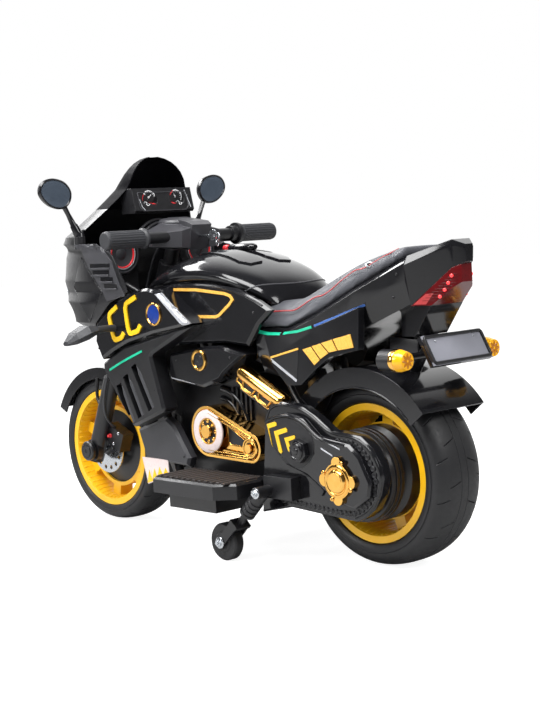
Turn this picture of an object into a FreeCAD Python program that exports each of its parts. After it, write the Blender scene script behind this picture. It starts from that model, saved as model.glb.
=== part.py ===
import FreeCAD, Part
import Sketcher
import math
import os
from types import SimpleNamespace
from FreeCAD import Placement, Rotation, Vector

os.makedirs("parts", exist_ok=True)
doc = FreeCAD.newDocument("motorbike")

# Lengths in millimetres: X forward, Y to the rider's left, Z up, ground at zero.
sizes = {
    # wheels
    "wheelbase": 755.0,
    "rear_axle_x": -357.5,
    "rim_r": 120.0,
    "rim_lip": 8.0,
    "rim_wall": 8.0,
    "rim_flange": 6.0,
    "rear_tyre_r": 162.0,
    "rear_tyre_half": 57.0,
    "rear_rim_half": 50.0,
    "front_tyre_r": 152.0,
    "front_tyre_half": 43.0,
    "front_rim_half": 39.0,
    "collar_r": 84.0,
    "collar_wall": 8.0,
    "spoke_wide": 24.0,
    "spoke_half": 16.0,
    "hub_barrel_r": 26.0,
    "axle_r": 6.0,
    "axle_head_r": 11.0,
    "axle_head": 5.0,
    "turning_gap": 0.08,
    "side_gap": 0.4,
    # rear hub, gearbox, stays
    "rear_hub_half": 55.0,
    "gearbox_r": 78.0,
    "gearbox_in": 57.0,
    "gearbox_out": 85.0,
    "stay_y": 91.0,
    "stay_r": 6.0,
    "stay_bend_x": -250.0,
    "stay_bend_z": 250.0,
    # brake
    "disc_r": 52.0,
    "disc_thick": 3.0,
    "disc_y": 40.0,
    "caliper_long": 44.0,
    "caliper_high": 40.0,
    "caliper_in": 35.0,
    "caliper_out": 62.0,
    "cable_r": 2.6,
    # steering and fork
    "fork_offset": 19.0,
    "fork_reach": 488.0,
    "fork_half": 68.0,
    "slider_r": 17.0,
    "slider_long": 186.0,
    "slider_below": 22.0,
    "stanchion_r": 13.0,
    "yoke_gap": 70.84,
    "yoke_thick": 24.0,
    "yoke_back": 20.0,
    "yoke_front": 36.0,
    "yoke_half": 84.0,
    "stem_r": 14.0,
    "stem_top": 14.0,
    "fork_cap_r": 22.0,
    "fork_cap_tip_r": 14.0,
    "fork_cap_out": 82.0,
    "fork_tip_out": 88.0,
    "head_tube_r": 21.0,
    # handlebar
    "bar_back": 45.6,
    "bar_drop": 11.0,
    "bar_r": 11.0,
    "bar_half": 205.0,
    "grip_r": 16.5,
    "grip_in": 118.0,
    "grip_out": 212.0,
    "grip_end_wall": 4.0,
    "throttle_gap": 1.0,
    "collar_ring_r": 21.0,
    "collar_ring_wide": 12.0,
    "cover_back": 89.6,
    "cover_long": 100.0,
    "cover_drop": 40.0,
    "cover_high": 68.0,
    "cover_half": 94.0,
    "lever_back": 3.6,
    "lever_drop": 16.0,
    "lever_in": 96.0,
    "lever_out": 196.0,
    "lever_thick": 10.0,
    "lever_wide": 12.0,
    "lever_pin_r": 4.0,
    "perch_wide": 16.0,
    "perch_r": 15.0,
    # key and fob
    "key_drop": 12.0,
    "key_r": 3.0,
    "key_long": 30.0,
    "key_bow_r": 11.0,
    "key_bow_thick": 3.0,
    "fob_back": 137.6,
    "fob_y": -18.0,
    "fob_long": 54.0,
    "fob_wide": 22.0,
    "fob_thick": 12.0,
    # body width lines
    "engine_half": 70.0,
    "inner_y": 100.0,
    "side_in": 112.0,
    "side_out": 150.0,
    "panel_bevel": 5.0,
    # tank cover
    "tank_x": -163.0,
    "tank_ahead": 3.0,
    "tank_z": 442.0,
    "tank_high": 104.0,
    "tank_half": 114.0,
    "shell_wall": 3.0,
    # seat and tail
    "seat_front_x": -98.0,
    "seat_rear_x": -466.0,
    "seat_half": 92.0,
    "seat_base_z": 411.0,
    "seat_rise": 118.0,
    "seat_thick": 38.0,
    "tail_half": 100.0,
    "tail_deep": 110.0,
    "tail_end_x": -549.0,
    "tail_corner": 17.0,
    "tail_end_half": 26.0,
    "tail_top_z": 552.0,
    "tail_lamp_z": 447.0,
    "tail_lamp_high": 60.0,
    "tail_lamp_rear": 34.0,
    "under_tail_half": 40.0,
    # side panels
    "shoulder_x": -20.0,
    "shoulder_long": 290.0,
    "shoulder_z": 350.0,
    "shoulder_high": 137.0,
    "lower_x": -15.0,
    "lower_long": 270.0,
    "lower_z": 223.0,
    "lower_high": 195.0,
    "slot_wide": 17.0,
    "knee_x": -194.0,
    "knee_long": 326.0,
    "knee_z": 358.0,
    "knee_high": 136.0,
    "airbox_x": -128.0,
    "airbox_long": 215.0,
    "airbox_z": 302.0,
    "airbox_high": 78.0,
    "airbox_out": 120.0,
    "leg_x": 50.0,
    "leg_long": 153.0,
    "leg_z": 150.0,
    "leg_high": 89.0,
    # engine
    "engine_x": -128.0,
    "engine_long": 246.0,
    "engine_high": 200.0,
    "pulley_x": -4.0,
    "pulley_z": 220.0,
    "pulley_r": 42.0,
    "idler_x": -117.0,
    "idler_z": 196.0,
    "idler_r": 22.0,
    "belt_cover_out": 96.0,
    "belt_rim_out": 108.0,
    "pulley_nut_r": 12.0,
    "pulley_nut_out": 115.0,
    "shock_front_x": -99.0,
    "shock_front_z": 331.0,
    "shock_rear_x": -206.0,
    "shock_rear_z": 278.0,
    "shock_y": 102.0,
    "shock_r": 15.0,
    # swingarm covers
    "arm_x": -446.0,
    "arm_long": 296.0,
    "arm_z": 86.0,
    "arm_high": 200.0,
    "arm_mid": 118.0,
    "arm_out": 130.0,
    "cap_r": 30.0,
    "cap_lobe_r": 11.0,
    "cap_step": 6.0,
    "cap_nose_r": 17.0,
    "cap_out": 142.0,
    # rear fender, plate and lamps
    "fender_r": 181.0,
    "fender_wall": 3.0,
    "fender_half": 78.0,
    "fender_skirt": 20.0,
    "rear_skirt": 32.0,
    "plate_x": -501.0,
    "plate_z": 399.0,
    "plate_wide": 150.0,
    "plate_high": 53.0,
    "plate_thick": 3.0,
    "plate_arm": 16.0,
    "signal_x": -478.0,
    "signal_y": 110.0,
    "signal_z": 364.0,
    "signal_r": 18.0,
    "signal_body": 26.0,
    "signal_lens": 26.0,
    "signal_bar_r": 7.0,
    # front fairing
    "nose_drop": 195.0,
    "nose_high": 245.0,
    "nose_back": 34.6,
    "nose_long": 321.0,
    "nose_half": 160.0,
    "screen_high": 98.0,
    "screen_wall": 3.0,
    "seam": 0.4,
    "dash_ahead": 30.4,
    "dash_long": 44.0,
    "dash_rise": 38.0,
    "dash_high": 48.0,
    "dash_half": 74.0,
    "dial_r": 19.0,
    "dial_y": 34.0,
    "dial_deep": 4.0,
    "cockpit_ahead": 64.4,
    "cockpit_drop": 114.0,
    "cockpit_thick": 6.0,
    "cockpit_high": 140.0,
    "cockpit_half": 156.0,
    "cockpit_gap_half": 52.0,
    "cockpit_gap_high": 82.0,
    "speaker_y": 98.0,
    "speaker_drop": 38.0,
    "speaker_r": 44.0,
    "speaker_deep": 16.0,
    "lamp_y": 62.0,
    "lamp_drop": 122.0,
    "lamp_wide": 74.0,
    "lamp_high": 44.0,
    "lamp_proud": 2.0,
    "stalk_r": 7.0,
    "stalk_out": 196.0,
    "pod_out": 248.0,
    "pod_drop": 22.0,
    "pod_long": 46.0,
    "pod_high": 26.0,
    # mirrors
    "mirror_ahead": 114.4,
    "mirror_y": 199.0,
    "mirror_rise": 83.0,
    "mirror_wide": 78.0,
    "mirror_high": 62.0,
    "mirror_deep": 26.0,
    "mirror_wall": 3.0,
    "mirror_arm_r": 6.0,
    "mirror_foot_y": 147.0,
    "mirror_foot_drop": 1.0,
    "mirror_foot_r": 11.0,
    "mirror_foot_high": 8.0,
    "mirror_boss_high": 24.0,
    "mirror_pin_r": 4.0,
    "mirror_pin_long": 14.0,
    # boards, tray and stabilisers
    "rail_y": 84.0,
    "rail_z": 118.0,
    "rail_r": 9.0,
    "rail_front_x": 110.0,
    "rail_rear_x": -190.0,
    "board_x": -195.0,
    "board_long": 250.0,
    "board_in": 93.2,
    "board_wide": 112.0,
    "board_z": 118.0,
    "board_thick": 28.0,
    "board_bevel": 4.0,
    "tread_deep": 2.0,
    "tread_wide": 7.0,
    "tread_pitch": 14.0,
    "tray_x": -80.0,
    "tray_long": 130.0,
    "tray_half": 165.0,
    "tray_z": 84.0,
    "battery_long": 151.0,
    "battery_half": 32.5,
    "battery_high": 94.0,
    "battery_x": -92.0,
    "post_x": -162.0,
    "post_z": 336.0,
    "post_half": 60.0,
    "rail_bend_x": 150.0,
    "rail_bend_z": 436.0,
    "bracket_x": -251.0,
    "bracket_long": 69.0,
    "bracket_z": 119.0,
    "bracket_high": 39.0,
    "bracket_out": 140.0,
    "strut_x": -194.0,
    "strut_z": 132.0,
    "caster_x": -93.0,
    "caster_y": 154.0,
    "caster_r": 34.0,
    "caster_half": 12.0,
    "caster_pin_r": 4.0,
    "sleeve_r": 13.0,
    "sleeve_long": 62.0,
    "sleeve_cap": 14.0,
    "rod_r": 7.0,
    "rod_start": 28.0,
    "rod_end": 94.0,
    "crown_thick": 7.0,
    "crown_half": 11.0,
    "prong_thick": 4.0,
    "prong_gap": 1.5,
    "prong_wide": 18.0,
}

sheet = doc.addObject("Spreadsheet::Sheet", "Sizes")
for row, (alias, value) in enumerate(sizes.items(), start=1):
    sheet.set(f"A{row}", alias)
    sheet.set(f"B{row}", str(value))
    sheet.setAlias(f"B{row}", alias)
doc.recompute()

# Angles in degrees.
rake = 24.0
fender_start, fender_sweep = 36.0, 106.0
front_fender_start, front_fender_sweep = 28.0, 118.0
plate_lean = 28.0
spoke_count = 7
rear_spoke_turn, front_spoke_turn = 97.0, 123.0


class Length:
    """A sum of named sizes, with its value and the expression that gives it."""

    def __init__(self, terms):
        self.terms = terms

    def __add__(self, other):
        terms = dict(self.terms)
        for alias, factor in other.terms.items():
            terms[alias] = terms.get(alias, 0) + factor
        return Length(terms)

    def __neg__(self):
        return self * -1

    def __sub__(self, other):
        return self + -other

    def __mul__(self, factor):
        return Length({alias: one * factor for alias, one in self.terms.items()})

    __rmul__ = __mul__

    @property
    def value(self):
        return sum(float(sheet.get(alias)) * factor for alias, factor in self.terms.items())

    @property
    def text(self):
        return " + ".join(f"({factor:.6f}) * Sizes.{alias}" for alias, factor in self.terms.items()) or "0"


s = SimpleNamespace(**{alias: Length({alias: 1.0}) for alias in sizes})
zero = Length({})
front_axle_x = s.rear_axle_x + s.wheelbase
along_y = Rotation(Vector(1, 0, 0), -90)
along_x = Rotation(Vector(0, 1, 0), 90)
upright = Rotation()
nodes = []


def node(piece, label):
    piece.Label = label
    nodes.append(piece)
    return piece


def at(x, y, z):
    return Vector(x.value, y.value, z.value)


def placed(piece, place, turn=upright):
    piece.Placement = Placement(Vector(), turn)
    for axis, length in zip("xyz", place):
        piece.setExpression(f"Placement.Base.{axis}", length.text)
    return piece


def primitive(kind, place, turn=upright, **lengths):
    piece = doc.addObject("Part::" + kind, kind)
    placed(piece, place, turn)
    for name, length in lengths.items():
        piece.setExpression(name, length.text)
    return piece


def cylinder(place, radius, height, turn=along_y):
    return primitive("Cylinder", place, turn, Radius=radius, Height=height)


def box(place, length, width, height, turn=upright):
    return primitive("Box", place, turn, Length=length, Width=width, Height=height)


def fused(pieces):
    joined = doc.addObject("Part::MultiFuse", "Fuse")
    joined.Shapes = pieces
    joined.Refine = True
    return joined


def cut(base, tools):
    result = doc.addObject("Part::Cut", "Cut")
    result.Base = base
    result.Tool = tools[0] if len(tools) == 1 else fused(tools)
    return result


def mirrored(source):
    other = doc.addObject("Part::Mirroring", "Mirror")
    other.Source = source
    other.Normal = Vector(0, 1, 0)
    return other


def grouped(pieces):
    group = doc.addObject("Part::Compound", "Pair")
    group.Links = pieces
    return group


def shaped(shape):
    feature = doc.addObject("Part::Feature", "Form")
    feature.Shape = shape
    return feature


def pair(left, name):
    node(left, name + "_left")
    node(mirrored(left), name + "_right")


def both(left, name):
    return node(grouped([left, mirrored(left)]), name)


def origin_item(body, role):
    return [item for item in body.Origin.OriginFeatures if item.Role == role][0]


def hold(sketch, corner, kind, length, axis):
    if not length.terms:
        sketch.addConstraint(Sketcher.Constraint("PointOnObject", corner, 1, axis))
        return
    index = sketch.addConstraint(Sketcher.Constraint(kind, -1, 1, corner, 1, length.value))
    sketch.setExpression(f"Constraints[{index}]", length.text)


def sketched(body, plane, corners):
    sketch = body.newObject("Sketcher::SketchObject", "Sketch")
    sketch.AttachmentSupport = [(origin_item(body, plane), "")]
    sketch.MapMode = "FlatFace"
    points = [Vector(across.value, up.value, 0) for across, up in corners]
    count = len(points)
    for index, start in enumerate(points):
        sketch.addGeometry(Part.LineSegment(start, points[(index + 1) % count]), False)
    for index in range(count):
        sketch.addConstraint(Sketcher.Constraint("Coincident", index, 2, (index + 1) % count, 1))
    for index, (across, up) in enumerate(corners):
        hold(sketch, index, "DistanceX", across, -2)
        hold(sketch, index, "DistanceY", up, -1)
    return sketch


def turned(corners, place=(zero, zero, zero)):
    """A ring about the Y line: corners are (radius, distance along the axle)."""
    body = doc.addObject("PartDesign::Body", "Turned")
    sketch = sketched(body, "XY_Plane", corners)
    ring = body.newObject("PartDesign::Revolution", "Revolution")
    ring.Profile = sketch
    ring.ReferenceAxis = (sketch, ["V_Axis"])
    return placed(body, place)


def softened(body, kind, picked, size):
    doc.recompute()
    tip = body.Tip
    names = picked(tip.Shape)
    edge = body.newObject("PartDesign::" + kind, kind)
    edge.Base = (tip, names)
    edge.setExpression("Size" if kind == "Chamfer" else "Radius", size.text)
    body.Tip = edge
    return body


def outer_face(shape):
    far = max(range(len(shape.Faces)), key=lambda index: shape.Faces[index].CenterOfMass.y)
    return [f"Face{far + 1}"]


def top_face(shape):
    far = max(range(len(shape.Faces)), key=lambda index: shape.Faces[index].CenterOfMass.z)
    return [f"Face{far + 1}"]


def wide_edges(limit):
    def picked(shape):
        rings = [index for index, edge in enumerate(shape.Edges)
                 if hasattr(edge.Curve, "Radius") and edge.Curve.Radius > limit.value]
        return [f"Edge{index + 1}" for index in rings]
    return picked


def spread(shares, length, height):
    return [(length * across if across else zero, height * up if up else zero) for across, up in shares]


def extruded(body, sketch, depth, kind="Pad"):
    feature = body.newObject("PartDesign::" + kind, kind)
    feature.Profile = sketch
    feature.setExpression("Length", depth.text)
    feature.Reversed = kind == "Pad"
    body.Tip = feature
    return feature


def panel(shares, corner, length, height, depth):
    """A side panel: an outline in X and Z, padded outward from its inner face."""
    body = doc.addObject("PartDesign::Body", "Panel")
    sketch = sketched(body, "XZ_Plane", spread(shares, length, height))
    extruded(body, sketch, depth)
    return placed(body, corner)


def polygon(points):
    return Part.makePolygon(points + points[:1])


def side_block(corners, half):
    outline = polygon([at(place_x, -half, place_z) for place_x, place_z in corners])
    return Part.Face(outline).extrude(Vector(0, (half * 2).value, 0))


def smooth_ring(points):
    curve = Part.BSplineCurve()
    curve.interpolate(points, PeriodicFlag=True)
    return Part.Wire([curve.toShape()])


def tube(points, radius):
    pieces = []
    for start, end in zip(points, points[1:]):
        pieces.append(Part.makeCylinder(radius, (end - start).Length, start, end - start))
        pieces.append(Part.makeSphere(radius, end))
    joined = pieces[0]
    for piece in pieces[1:-1]:
        joined = joined.fuse(piece)
    return joined.removeSplitter()


# Wheels: tyre, rim with spokes and hub, each about its own axle.

def tyre(radius, half, axle):
    depth = radius - s.rim_r
    side = [(s.rim_r, 0.16), (s.rim_r + depth * 0.22, 0.0), (s.rim_r + depth * 0.62, 0.03),
            (s.rim_r + depth * 0.86, 0.2), (radius, 0.62)]
    corners = [(reach, half * share if share else zero) for reach, share in side]
    corners += [(reach, half * (2 - share)) for reach, share in reversed(side)]
    ring = turned(corners, (axle[0], -half, axle[1]))
    return softened(ring, "Fillet", wide_edges(s.rim_r + depth * 0.4), depth * 0.16)


def rim(half, axle, first):
    wide = half * 2
    corners = [(s.rim_r, zero), (s.rim_r, s.rim_flange), (s.rim_r - s.rim_lip, s.rim_flange * 2),
               (s.rim_r - s.rim_lip, wide - s.rim_flange * 2), (s.rim_r, wide - s.rim_flange),
               (s.rim_r, wide),
               (s.rim_r - s.rim_flange * 2, wide), (s.rim_r - s.rim_lip - s.rim_wall,
                                                    wide - s.rim_flange * 2),
               (s.rim_r - s.rim_lip - s.rim_wall, s.rim_flange * 2), (s.rim_r - s.rim_flange * 2, zero)]
    ring = turned(corners, (axle[0], -half, axle[1]))
    collar = turned([(s.collar_r, zero), (s.collar_r, s.spoke_half * 2),
                     (s.collar_r - s.collar_wall, s.spoke_half * 2),
                     (s.collar_r - s.collar_wall, zero)], (axle[0], -s.spoke_half, axle[1]))
    pieces = [ring, collar]
    near = s.collar_r - s.collar_wall * 0.5
    reach = s.rim_r - s.rim_lip - s.rim_wall * 0.5 - near
    for index in range(spoke_count):
        turn = math.radians(first + 360 * index / spoke_count)
        across, up = math.cos(turn), math.sin(turn)
        place = (axle[0] + near * across + s.spoke_wide * (up * 0.5), -s.spoke_half,
                 axle[1] + near * up - s.spoke_wide * (across * 0.5))
        pieces.append(box(place, reach, s.spoke_half * 2, s.spoke_wide,
                          Rotation(Vector(0, 1, 0), -math.degrees(turn))))
    return fused(pieces)


rear_axle = (s.rear_axle_x, s.rear_tyre_r)
front_axle = (front_axle_x, s.front_tyre_r)
node(tyre(s.rear_tyre_r, s.rear_tyre_half, rear_axle), "rear_tyre")
node(rim(s.rear_rim_half, rear_axle, rear_spoke_turn), "rear_rim")
node(tyre(s.front_tyre_r, s.front_tyre_half, front_axle), "front_tyre")
node(rim(s.front_rim_half, front_axle, front_spoke_turn), "front_rim")

hub_bore = s.axle_r + s.turning_gap
collar_bore = s.collar_r - s.collar_wall
rear_wide = s.rear_hub_half * 2
flange_in = s.rear_hub_half - s.spoke_half
node(turned([(hub_bore, zero), (s.collar_r * 0.72, zero), (s.collar_r * 0.97, flange_in * 0.4),
             (s.collar_r * 0.97, flange_in), (collar_bore, flange_in), (collar_bore, rear_wide - flange_in),
             (s.collar_r * 0.97, rear_wide - flange_in), (s.collar_r * 0.97, rear_wide - flange_in * 0.4),
             (s.collar_r * 0.72, rear_wide), (hub_bore, rear_wide)],
            (s.rear_axle_x, -s.rear_hub_half, s.rear_tyre_r)), "rear_hub")
front_wide = s.disc_y * 2
web_in = s.disc_y - s.spoke_half
node(turned([(hub_bore, zero), (s.hub_barrel_r, zero), (s.hub_barrel_r * 1.2, web_in * 0.6),
             (collar_bore, web_in * 1.2), (collar_bore, front_wide - web_in * 1.2),
             (s.hub_barrel_r * 1.2, front_wide - web_in * 0.6), (s.hub_barrel_r, front_wide),
             (hub_bore, front_wide)],
            (front_axle_x, -s.disc_y, s.front_tyre_r)), "front_hub")


def axle_rod(place_x, place_z, half):
    rod = cylinder((place_x, -half, place_z), s.axle_r, half * 2)
    heads = [cylinder((place_x, side, place_z), s.axle_head_r, s.axle_head) for side in (half,
                                                                                         -half - s.axle_head)]
    return fused([rod] + heads)


node(axle_rod(s.rear_axle_x, s.rear_tyre_r, s.stay_y + s.stay_r), "rear_axle")
node(axle_rod(front_axle_x, s.front_tyre_r, s.fork_tip_out), "front_axle")

# Rear gearbox beside the wheel, left side.
gearbox = turned([(hub_bore, zero), (s.gearbox_r * 0.9, zero), (s.gearbox_r, s.gearbox_out * 0.06),
                  (s.gearbox_r, s.gearbox_out * 0.2), (s.gearbox_r * 0.8, s.gearbox_out - s.gearbox_in),
                  (hub_bore, s.gearbox_out - s.gearbox_in)],
                 (s.rear_axle_x, s.gearbox_in, s.rear_tyre_r))

# Steering pieces stand in a frame whose Z runs up the steering line.
lean = math.radians(rake)
steer_x = front_axle_x - s.fork_offset * math.cos(lean) - s.fork_reach * math.sin(lean)
steer_z = s.front_tyre_r - s.fork_offset * math.sin(lean) + s.fork_reach * math.cos(lean)
raked = Rotation(Vector(0, 1, 0), -rake)
steer_place = (steer_x, zero, steer_z)
fender_room = s.front_tyre_r * 1.08
s.yoke_down = s.fork_reach - fender_room - s.fender_wall - s.yoke_gap - s.yoke_thick
s.head_tube_down = s.yoke_down * 0.3
s.head_tube_long = s.yoke_down * 0.37
s.bar_x, s.bar_z = steer_x - s.bar_back, steer_z - s.bar_drop
s.cover_x, s.cover_z = steer_x - s.cover_back, steer_z - s.cover_drop
s.lever_x, s.lever_z = steer_x - s.lever_back, steer_z - s.lever_drop
s.key_z = steer_z - s.key_drop
s.fob_x = steer_x - s.fob_back
s.tank_long = steer_x + s.tank_ahead - s.tank_x
s.nose_x, s.nose_z = steer_x - s.nose_back, steer_z - s.nose_drop
s.dash_x, s.dash_z = steer_x + s.dash_ahead, steer_z + s.dash_rise
s.cockpit_x, s.cockpit_z = steer_x + s.cockpit_ahead, steer_z - s.cockpit_drop
s.speaker_z = steer_z - s.speaker_drop
s.lamp_z = steer_z - s.lamp_drop
s.mirror_x, s.mirror_z = steer_x + s.mirror_ahead, steer_z + s.mirror_rise
s.mirror_foot_z = steer_z - s.mirror_foot_drop
s.stalk_x = s.shoulder_x + s.shoulder_long * 0.776
s.stalk_z = s.shoulder_z + s.shoulder_high * 0.4526

stem = cylinder((zero, zero, -s.yoke_down - s.yoke_thick), s.stem_r,
                s.yoke_down + s.yoke_thick - s.stem_top, upright)
yoke = box((-s.yoke_back, -s.yoke_half, -s.yoke_down - s.yoke_thick), s.yoke_back + s.yoke_front,
           s.yoke_half * 2,
           s.yoke_thick)
fork_pieces = [stem, yoke]
for side in (1, -1):
    leg_y = s.fork_half * side
    foot = -s.fork_reach - s.slider_below
    fork_pieces.append(cylinder((s.fork_offset, leg_y, foot), s.slider_r, s.slider_long, upright))
    fork_pieces.append(cylinder((s.fork_offset, leg_y, foot), s.stanchion_r,
                                s.fork_reach + s.slider_below - s.yoke_down, upright))
    inner = s.fork_half if side > 0 else -s.fork_cap_out
    tip = s.fork_half if side > 0 else -s.fork_tip_out
    fork_pieces.append(cylinder((s.fork_offset, inner, -s.fork_reach), s.fork_cap_r,
                                s.fork_cap_out - s.fork_half))
    fork_pieces.append(cylinder((s.fork_offset, tip, -s.fork_reach), s.fork_cap_tip_r,
                                s.fork_tip_out - s.fork_half))
bore = cylinder((s.fork_offset, -s.fork_tip_out * 2, -s.fork_reach), s.axle_r, s.fork_tip_out * 4)
node(placed(cut(fused(fork_pieces), [bore]), steer_place, raked), "fork")

# Front fender: an arched channel over the tyre, held to the fork legs.


def arch(radius, wall, half, skirt, axle, start, sweep):
    top, low = radius.value + wall.value, radius.value - skirt.value
    across, inside = half.value, half.value - wall.value
    section = [(top, -across), (top, across), (low, across), (low, inside), (radius.value, inside),
               (radius.value, -inside), (low, -inside), (low, -across)]
    face = Part.Face(polygon([Vector(reach, side, 0) for reach, side in section]))
    shape = face.revolve(Vector(), Vector(0, -1, 0), sweep)
    shape.rotate(Vector(), Vector(0, -1, 0), start)
    shape.translate(at(axle[0], zero, axle[1]))
    return shape


leg_line = raked.multVec(Vector(0, 0, 1))
axle_point = at(front_axle_x, zero, s.front_tyre_r)
fender_gap = fender_room - s.front_tyre_r
fender_half = s.fork_half - s.slider_r - s.side_gap
front_arch = arch(s.front_tyre_r + fender_gap, s.fender_wall, fender_half, s.fender_skirt, front_axle,
                  front_fender_start, front_fender_sweep)
for side in (1, -1):
    tab_long = (s.slider_r * 2).value
    tab_high = s.fender_skirt.value
    tab = Part.makeBox(tab_long, s.slider_r.value, tab_high)
    tab.translate(Vector(-tab_long * 0.5, -s.slider_r.value * 0.5, 0))
    tab.Placement = Placement(axle_point + leg_line * (s.front_tyre_r.value - tab_high * 0.6)
                              + Vector(0, side * (s.fork_half - s.slider_r).value, 0), raked) * tab.Placement
    leg = Part.makeCylinder(s.slider_r.value, s.fork_reach.value,
                            axle_point + Vector(0, side * s.fork_half.value, 0), leg_line)
    swept = Part.makeCylinder((s.front_tyre_r + fender_gap).value, fender_half.value * 4,
                              axle_point - Vector(0, fender_half.value * 2, 0), Vector(0, 1, 0))
    web = Part.makeBox(tab_long * 4, (fender_half - s.fender_wall).value * 2, tab_high * 8)
    web.translate(axle_point + leg_line * s.front_tyre_r.value
                  - Vector(tab_long * 2, (fender_half - s.fender_wall).value, tab_high * 4))
    front_arch = front_arch.fuse(tab.cut(leg).cut(web.common(swept)))
node(shaped(front_arch.removeSplitter()), "front_fender")

# Disc brake on the left of the front hub.
disc_plate = turned([(s.hub_barrel_r * 0.6, zero), (s.disc_r, zero), (s.disc_r, s.disc_thick),
                     (s.hub_barrel_r * 0.6, s.disc_thick)], (front_axle_x, s.disc_y, s.front_tyre_r))
holes = []
for index in range(spoke_count * 2):
    turn = 2 * math.pi * index / (spoke_count * 2)
    holes.append(cylinder((front_axle_x + s.disc_r * (0.8 * math.cos(turn)), s.disc_y - s.disc_thick,
                           s.front_tyre_r + s.disc_r * (0.8 * math.sin(turn))), s.axle_r * 0.7,
                          s.disc_thick * 3))
node(cut(disc_plate, holes), "brake_disc")

caliper_back = s.fork_offset - s.slider_r - s.caliper_long
caliper_low = -s.fork_reach + s.disc_r * 0.45
caliper_block = box((caliper_back, s.caliper_in, caliper_low), s.caliper_long + s.slider_r * 0.6,
                    s.caliper_out - s.caliper_in, s.caliper_high)
caliper_slot = cylinder((s.fork_offset, s.disc_y - s.disc_thick * 0.6, -s.fork_reach), s.disc_r * 1.05,
                        s.disc_thick * 2.2)
caliper_leg = cylinder((s.fork_offset, s.fork_half, -s.fork_reach - s.slider_below), s.slider_r,
                       s.slider_long, upright)
hub_room = cylinder((s.fork_offset, zero, -s.fork_reach), s.hub_barrel_r * 1.3, s.caliper_out)
caliper = placed(cut(caliper_block, [caliper_slot, caliper_leg, hub_room]), steer_place, raked)
node(caliper, "brake_caliper")

# Brake cable: up the left fork leg, over the yoke and into the bar cover, in shares of the fork's reach.
cable_shares = [(-0.016, 0.115, -0.868), (-0.004, 0.165, -0.82), (0.012, 0.184, -0.74), (0.020, 0.184, -0.54),
                (0.029, 0.178, -0.44), (0.049, 0.104, -0.39), (0.056, 0.05, -0.31), (0.054, 0.046, -0.2),
                (0.042, 0.046, -0.11), (0.008, 0.046, -0.045)]
cable_turn = Placement(at(*steer_place), raked)
cable_points = [cable_turn.multVec(Vector(*share) * s.fork_reach.value) for share in cable_shares]
cable_line = Part.BSplineCurve()
cable_line.interpolate(cable_points)
cable_ring = Part.Wire([Part.makeCircle(s.cable_r.value, cable_points[0], cable_line.tangent(0)[0])])
cable_shape = Part.Wire([cable_line.toShape()]).makePipeShell([cable_ring], True, True)

# Handlebar, its cover, grips and brake lever.
bar = cylinder((s.bar_x, -s.bar_half, s.bar_z), s.bar_r, s.bar_half * 2)
perch_place = s.lever_in + s.perch_wide
perch = cylinder((s.bar_x, -perch_place, s.bar_z), s.perch_r, s.perch_wide)
arm = box((s.bar_x, -perch_place, s.lever_z - s.lever_thick), s.lever_x - s.bar_x + s.lever_wide * 0.5,
          s.perch_wide,
          s.lever_thick - s.side_gap)
stop_ring = cylinder((s.bar_x, s.throttle_gap - s.grip_in, s.bar_z), s.collar_ring_r,
                     s.collar_ring_wide * 0.5)
pivot_y = s.lever_in + s.perch_wide * 0.5
lever_pin = cylinder((s.lever_x, -pivot_y, s.lever_z - s.lever_thick), s.lever_pin_r,
                     s.lever_thick * 1.7, upright)
node(fused([bar, perch, arm, stop_ring, lever_pin]), "handlebar")

cover_shares = [(0.03, 0.36), (0.10, 0.78), (0.36, 1.0), (0.86, 0.97), (1.0, 0.70), (0.92, 0.30),
                (0.56, 0.0), (0.20, 0.08)]
cover_end_shares = [(0.28, 0.42), (0.30, 0.62), (0.42, 0.80), (0.66, 0.82), (0.78, 0.66), (0.76, 0.44),
                    (0.60, 0.28),
                    (0.40, 0.28)]


def cover_section(shares, side):
    return polygon([at(s.cover_x + s.cover_long * across, side,
                       s.cover_z + s.cover_high * up) for across, up in shares])


cover_loft = Part.makeLoft([cover_section(cover_end_shares, -s.cover_half),
                            cover_section(cover_shares, s.cover_half * -0.55),
                            cover_section(cover_shares, s.cover_half * 0.55),
                            cover_section(cover_end_shares, s.cover_half)], True, True)
cover_form = shaped(cover_loft)
cover_bar = cylinder((s.bar_x, -s.bar_half, s.bar_z), s.bar_r, s.bar_half * 2)
cover_perch = cylinder((s.bar_x, -perch_place, s.bar_z), s.perch_r, s.perch_wide)
cover_stem = placed(cylinder((zero, zero, zero), s.stem_r, s.yoke_down, upright),
                    (steer_x + s.yoke_down * math.sin(lean) + s.stem_top * math.sin(lean), zero,
                     steer_z - s.yoke_down * math.cos(lean) - s.stem_top * math.cos(lean)), raked)
key_hole = cylinder((s.cover_x - s.key_long, zero, s.key_z), s.key_r + s.turning_gap, s.key_long * 1.7,
                    along_x)
cover = node(cut(cover_form, [cover_bar, cover_perch, cover_stem, key_hole]), "handlebar_cover")
node(cut(shaped(cable_shape), [grouped([cover, caliper])]), "brake_cable")

grip_long = s.grip_out - s.grip_in


def grip(bore_r):
    return turned([(bore_r, zero), (s.grip_r * 1.18, zero), (s.grip_r * 1.18, s.grip_end_wall),
                   (s.grip_r, s.grip_end_wall * 2),
                   (s.grip_r, grip_long - s.grip_end_wall), (s.grip_r * 0.8, grip_long), (zero, grip_long),
                   (zero, grip_long - s.grip_end_wall), (bore_r, grip_long - s.grip_end_wall)],
                  (s.bar_x, s.grip_in, s.bar_z))


node(grip(s.bar_r), "left_grip")
node(mirrored(grip(s.bar_r + s.turning_gap)), "throttle_grip")

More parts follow.
